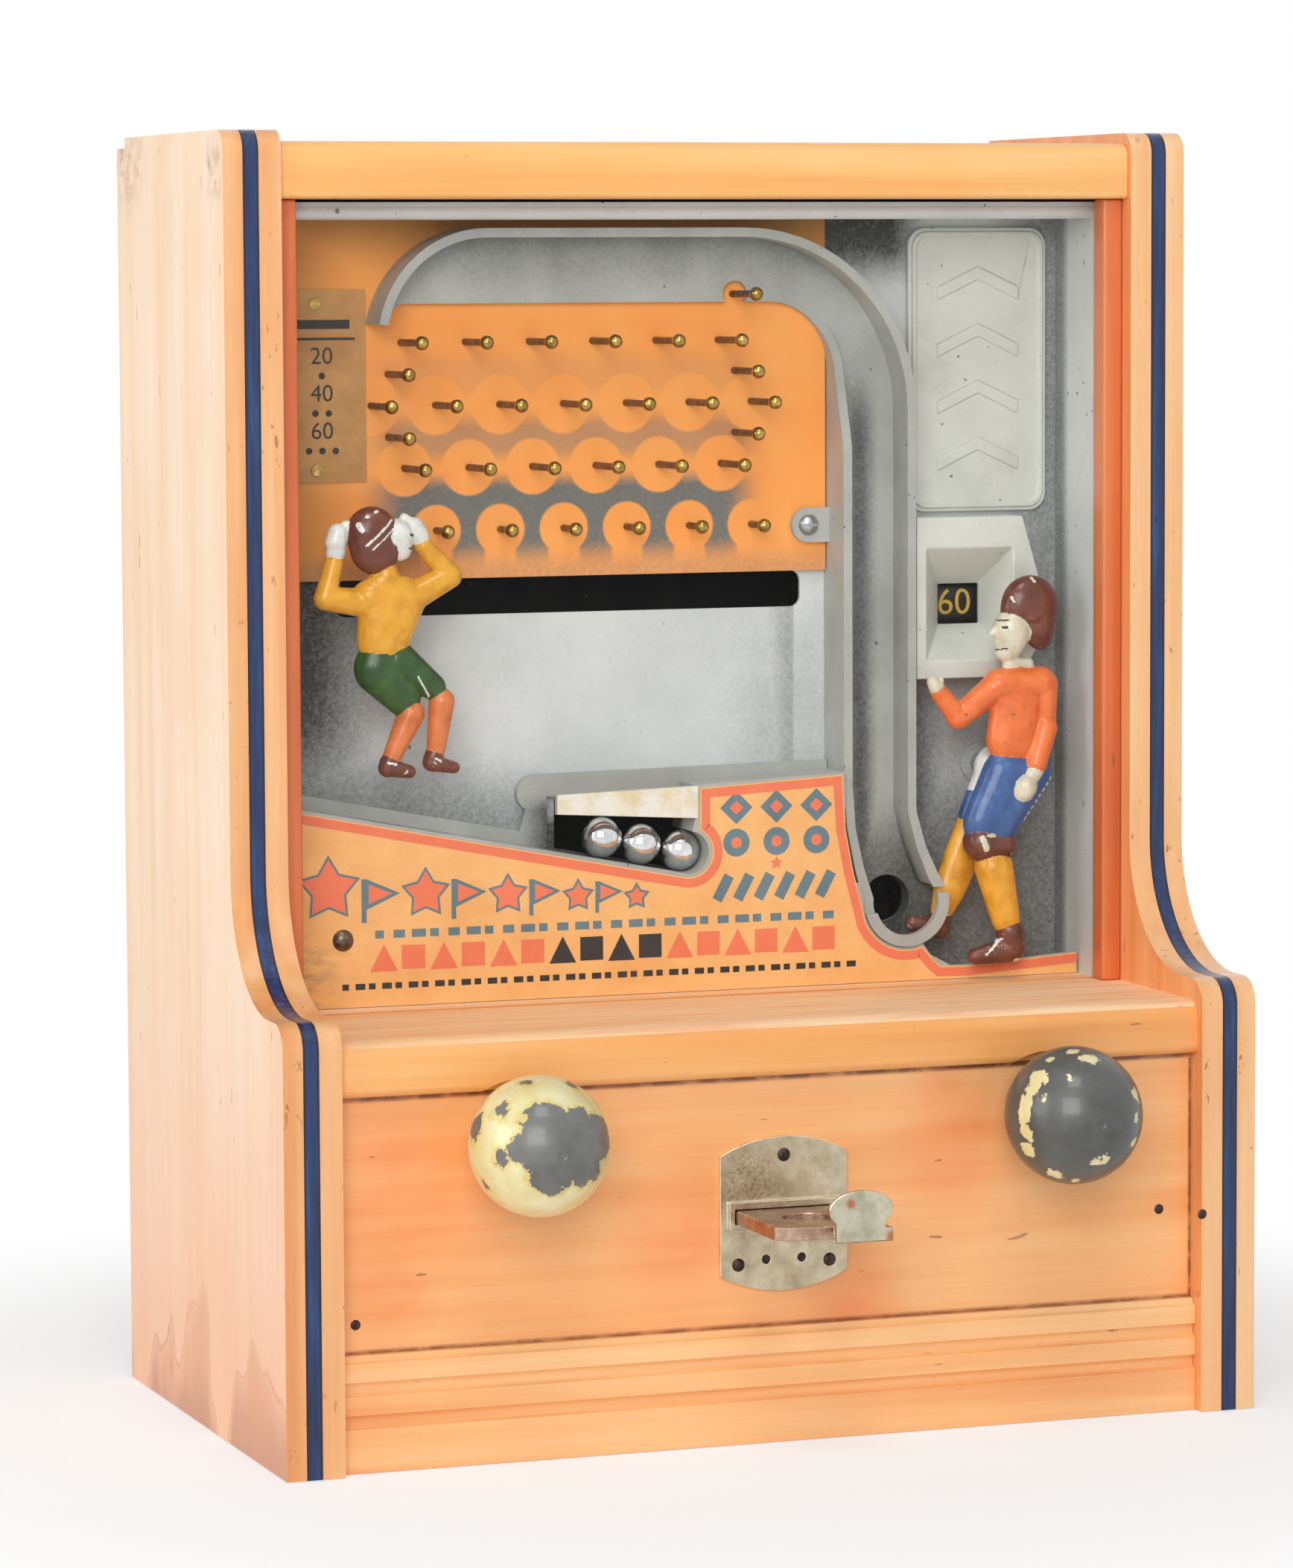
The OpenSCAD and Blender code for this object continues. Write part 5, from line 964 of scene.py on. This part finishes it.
leg_limbs = [
    (0, (0.0, 0.0), (-0.4, -0.6), 8.3, 8.2), (0, (-0.8, -2.0), (-5.0, -10.6), 7.0, 6.7),
    (4, (-5.6, -12.0), (-8.4, -19.6), 6.6, 6.8), (1, (-9.6, -24.0), (-13.6, -35.0), 6.9, 7.6),
    (1, (-13.6, -35.0), (-18.6, -47.0), 7.6, 6.8), (1, (-18.6, -47.0), (-22.2, -56.0), 6.8, 4.7),
    (2, (-23.0, -59.6), (-23.2, -62.8), 4.7, 4.4), (2, (-23.6, -62.4), (-34.4, -60.4), 4.2, 3.3)]
cast_figure("kicker_leg_finished", leg_limbs, [(3, (-20.6, -57.4), (-25.0, -56.2), 0.4)],
            [white, yellow, worn_brown, white, blue], HIP, 4.6, LEG_Y, lambda z: 5.1, "kicker_leg", "kicker_leg")

washer = [(5.0, 0.0), (7.8, 0.0), (8.0, 0.3), (8.0, 0.8), (5.0, 0.8)]
piece("leg_washer", [turned(washer, (HIP[0], FIELD_Y - 1.0, HIP[1]), (0, 1, 0), 48)], tray_grey,
      nodes["leg_shaft"]["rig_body"])

# Printed card: salmon border along the ramp, pocket, track and cup, then stars, rings, rules and lozenges
seat = (BALL_X[0], on_ramp(BALL_X[0]))
border = [(-161.0, ramp_at(-162.0) - 1.4)] + arc(*seat, BALL_R + 1.6, -90 - RAMP_A, 62, 18)
border += [(5.0, 222.0), (5.0, 234.0), (63.5, 237.2), (63.5, 232.0), (64.5, 216.0), (67.8, 199.0), (72.0, 183.0)]
border += arc(*CUP, CUP_R, 202, 290, 14) + [(101.0, 164.0), (104.0, 161.3), (115.0, 161.0), (161.5, 164.2)]
INK_Y = CARD_Y - 0.06
inked = {"salmon": ribbon(border, 0.5, 3.9), "blue": [], "black": []}
for x, r in ((-143, 13.0), (-105, 10.2), (-72.5, 8.4), (-44.5, 6.8), (-21, 5.6)):
    inked["blue"].append(star(x, 188.0 + r, r, inner=0.56))
    inked["salmon"].append(star(x, 188.0 + r, r - 1.7, inner=0.56))
for x, r in ((-123.3, 8.2), (-88.5, 7.6), (-58.3, 6.9), (-32.6, 6.0)):
    z = 188.0 + r
    inked["blue"] += [[(x - 0.6 * r, z + r), (x + r, z + 0.3 * r), (x - 0.6 * r, z - 0.4 * r)],
                      rule(x - 0.72 * r, z - r, x - 0.72 * r, z + r, 0.24 * r)]
    inked["salmon"].append([(x - 0.5 * r, z + 0.76 * r), (x + 0.62 * r, z + 0.3 * r), (x - 0.5 * r, z - 0.16 * r)])
for i in range(3):
    x = 13.0 + i * 16.4
    inked["blue"] += [[(x, 226.0), (x + 6.6, 232.4), (x + 13.2, 226.0), (x + 6.6, 219.6)],
                      arc(x + 6.6, 212.6, 5.4, 0, 340, 18)]
    inked["salmon"] += [[(x + 3.8, 226.0), (x + 6.6, 228.7), (x + 9.4, 226.0), (x + 6.6, 223.3)],
                        arc(x + 6.6, 212.6, 2.2, 0, 340, 14)]
inked["salmon"].append(star(36.0, 204.2, 2.8))
inked["blue"] += [rule(11.6 + 8.4 * i, 190.8, 16.6 + 8.4 * i, 200.0, 4.2) for i in range(6)]
inked["blue"] += [rule(-125.0 + 7.2 * i, 183.4, -121.6 + 1.1 * (i % 3) + 7.2 * i, 183.4, 3.0) for i in range(26)]
for i in range(8):
    x = -127 + i * 23.6
    ink = "black" if i in (3, 4) else "salmon"
    inked[ink] += [[(x, 169.4), (x + 5.4, 179.6), (x + 10.8, 169.4)], rule(x + 12.4, 174.5, x + 21.6, 174.5, 9.0)]
inked["black"] += [rule(-138.0 + 5.2 * i, 164.0, -135.4 + 1.2 * (i % 2) + 5.2 * i, 164.0, 2.3) for i in range(40)]
for ink, finish in (("salmon", salmon_ink), ("blue", blue_ink), ("black", black_ink)):
    level = INK_Y if ink != "salmon" else INK_Y - 0.03
    piece("card_print_" + ink, [flat_form(inked[ink], level)], finish, smooth=None)

# Score card: plain numbers, each over as many pips as it is worth
card_low, card_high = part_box("score_card")
card_x, card_front = (card_low[0] + card_high[0]) / 2 / MM + 2.5, card_low[1] / MM - 0.05
pips = [rule(card_x - 11, 411.0, card_x + 11, 411.0, 3.4), rule(card_x - 13, 405.6, card_x + 13, 405.6, 1.0)]
scores = (("20", 399.0), ("40", 385.0), ("60", 371.0))
for n, (_, z) in enumerate(scores):
    pips += [arc(card_x + (k - n / 2) * 5.2, z - 7.2, 1.3, 0, 345, 12) for k in range(n + 1)]
numbers = [numeral_form(text, 9.0, lambda x, z, up=up: (card_x + x, card_front, up + z)) for text, up in scores]
piece("score_card_print", numbers + [flat_form(pips, card_front)], black_ink, smooth=None)

# Score drum: tens painted round it, 60 at the window
dress(["score_drum"], drum_black)


def on_drum(step):
    """Places a numeral's points round the drum, a tenth of a turn on for each step."""
    def place(x, z):
        a = math.radians(36 * step) + z / DRUM_R
        return (DRUM[0] + x, DRUM[1] - (DRUM_R + 0.06) * math.cos(a), DRUM[2] + (DRUM_R + 0.06) * math.sin(a))
    return place


tens = [numeral_form(str(10 * ((6 - k) % 10)), 14.5, on_drum(k)) for k in range(10)]
piece("score_drum_numerals", tens, drum_yellow, "score_drum", smooth=None)

# Coin plate and slide
# Faces looking up or left on the coin plate get brighter nickel: a painted highlight
softened("coin_plate", 1.0, [nickel, nickel_edge], 2,
         lambda face: face.normal.y > -0.97 and max(face.normal.z, -face.normal.x) > 0.2)
softened("coin_slide", 0.6, [bronze, tab_silver], 2, lambda face: (
    face.center.y < -155.8 * MM and face.center.x > -1.5 * MM and face.center.z > 83.0 * MM))
# Dark discs in the plate's two lower holes
grime = [arc(COIN[0] + dx, COIN[1] - 16.75, 1.75, 0, 345, 14) for dx in (-7, 7)]
piece("coin_plate_holes", [flat_form(grime, FRONT_Y - 0.3)], rivet_dark, smooth=None)
rivets = [(COIN[0], COIN[1] + 21.75), (COIN[0] - 18, COIN[1] - 18.25), (COIN[0] + 18, COIN[1] - 18.25)]
rivet_mesh = grown("coin_plate_rivets", [(x, FRONT_Y - 1.9, z) for x, z in rivets], dome_tree(),
                   Radius=2.5 * MM, Height=1.1 * MM, Finish=rivet_dark)
piece("coin_plate_rivets_finished", rivet_mesh, [], node="coin_plate_rivets")

# Old nail heads sunk in the front
nails = [(155.4, FRONT_Y, 76.7), (168.7, FRONT_Y - 10, 75.5), (-161.4, FRONT_Y, 53.3)]
nail_mesh = grown("front_nails", nails, dome_tree(), Radius=1.9 * MM, Height=0.35 * MM, Finish=rivet_dark)
piece("front_nails", nail_mesh, [])

# Mechanism and rear
dress(["catcher_shaft", "catcher_link", "catcher_lever", "kick_shaft", "kick_link", "leg_shaft",
       "kick_spring", "score_detent", "lock_cam", "back_screws"], steel)
dress(["catcher_bracket", "kick_bracket", "leg_bearing", "coin_slide_housing", "coin_box",
       "score_bracket"], dull_steel)
# Blackened steel, dark also as painted shade for the carriage and rods seen through the slot
dress(["ball_return_chute", "carriage_rods", "rod_blocks", "catcher_carriage"], dark_steel)
dress(["hinge_fixed_leaves", "hinge_door_leaves", "door_lock"], hinge_brass)

# Camera at the photograph's viewing angle
CAMERA_AT = (-0.76198, -2.08198, 0.42954)
FOCAL_PX = 7824.56
PHOTO_HIGH_PX = 2105
SENSOR_MM = 36.0
yaw, pitch, roll = math.radians(19.76), math.radians(5.01), -0.0048
ahead = Vector((math.sin(yaw) * math.cos(pitch), math.cos(yaw) * math.cos(pitch), -math.sin(pitch)))
right = Vector((math.cos(yaw), -math.sin(yaw), 0.0))
up = right.cross(ahead)
right, up = right * math.cos(roll) + up * math.sin(roll), up * math.cos(roll) - right * math.sin(roll)
lens = bpy.data.cameras.new("photo_camera")
lens.sensor_width = SENSOR_MM
lens.lens = FOCAL_PX / PHOTO_HIGH_PX * SENSOR_MM
camera = bpy.data.objects.new("photo_camera", lens)
camera.matrix_world = Matrix.Translation(CAMERA_AT) @ Matrix((right, up, -ahead)).transposed().to_4x4()
scene.collection.objects.link(camera)
scene.camera = camera

# Plain soft light: an even room, a large lamp beside the camera, and two weaker ones for the side and the tops
world = bpy.data.worlds.new("studio")
scene.world = world
world.use_nodes = True
put = functools.partial(add, world.node_tree)
room = world.node_tree.nodes["Background"]
room.inputs["Color"].default_value = (1, 1, 1, 1)
world.node_tree.links.new(put(RANGE, (seen_rays(put), 0.0, 1.0, 0.31, 1.0)), room.inputs["Strength"])
middle = Vector((0, 0, 0.25))
for name, place, size, watts in (("front_lamp", (-1.19, -2.56, 1.28), 1.5, 41.0),
                                 ("left_lamp", (-2.57, -0.45, 0.95), 1.3, 18.5),
                                 ("top_lamp", (-0.33, -1.22, 2.63), 0.9, 16.0)):
    lamp = bpy.data.lights.new(name, "AREA")
    lamp.size = size
    lamp.energy = watts
    holder = bpy.data.objects.new(name, lamp)
    holder.location = place
    holder.rotation_euler = (Vector(place) - middle).to_track_quat("Z", "Y").to_euler()
    scene.collection.objects.link(holder)

# Pale floor that keeps the shadow near the object and goes to white further out
ground = bmesh.new()
bmesh.ops.create_grid(ground, x_segments=1, y_segments=1, size=6.0)
for v in ground.verts:
    v.co.z = -0.0003
floor = bpy.data.objects.new("floor", as_mesh("floor", [ground]))
scene.collection.objects.link(floor)
paper, put, coords = coat("white_paper_floor")
lay(paper, Base_Color=srgb("#FCFCFC"), Roughness=0.9)
tree = paper.node_tree
away = put("ShaderNodeVectorMath", (coords,), "Value", operation="LENGTH")
away = put(RANGE, (away, 0.20, 0.50, 0.5, 1.0), **EASED)
open_air = put(MATH, (seen_rays(put), away), **TIMES)
white_out = put("ShaderNodeEmission", ((1, 1, 1, 1), 1.0))
blank = put("ShaderNodeMixShader", (open_air, tree.nodes["Principled BSDF"].outputs[0], white_out))
tree.links.new(blank, tree.nodes["Material Output"].inputs["Surface"])
floor.data.materials.append(paper)

bpy.context.view_layer.update()
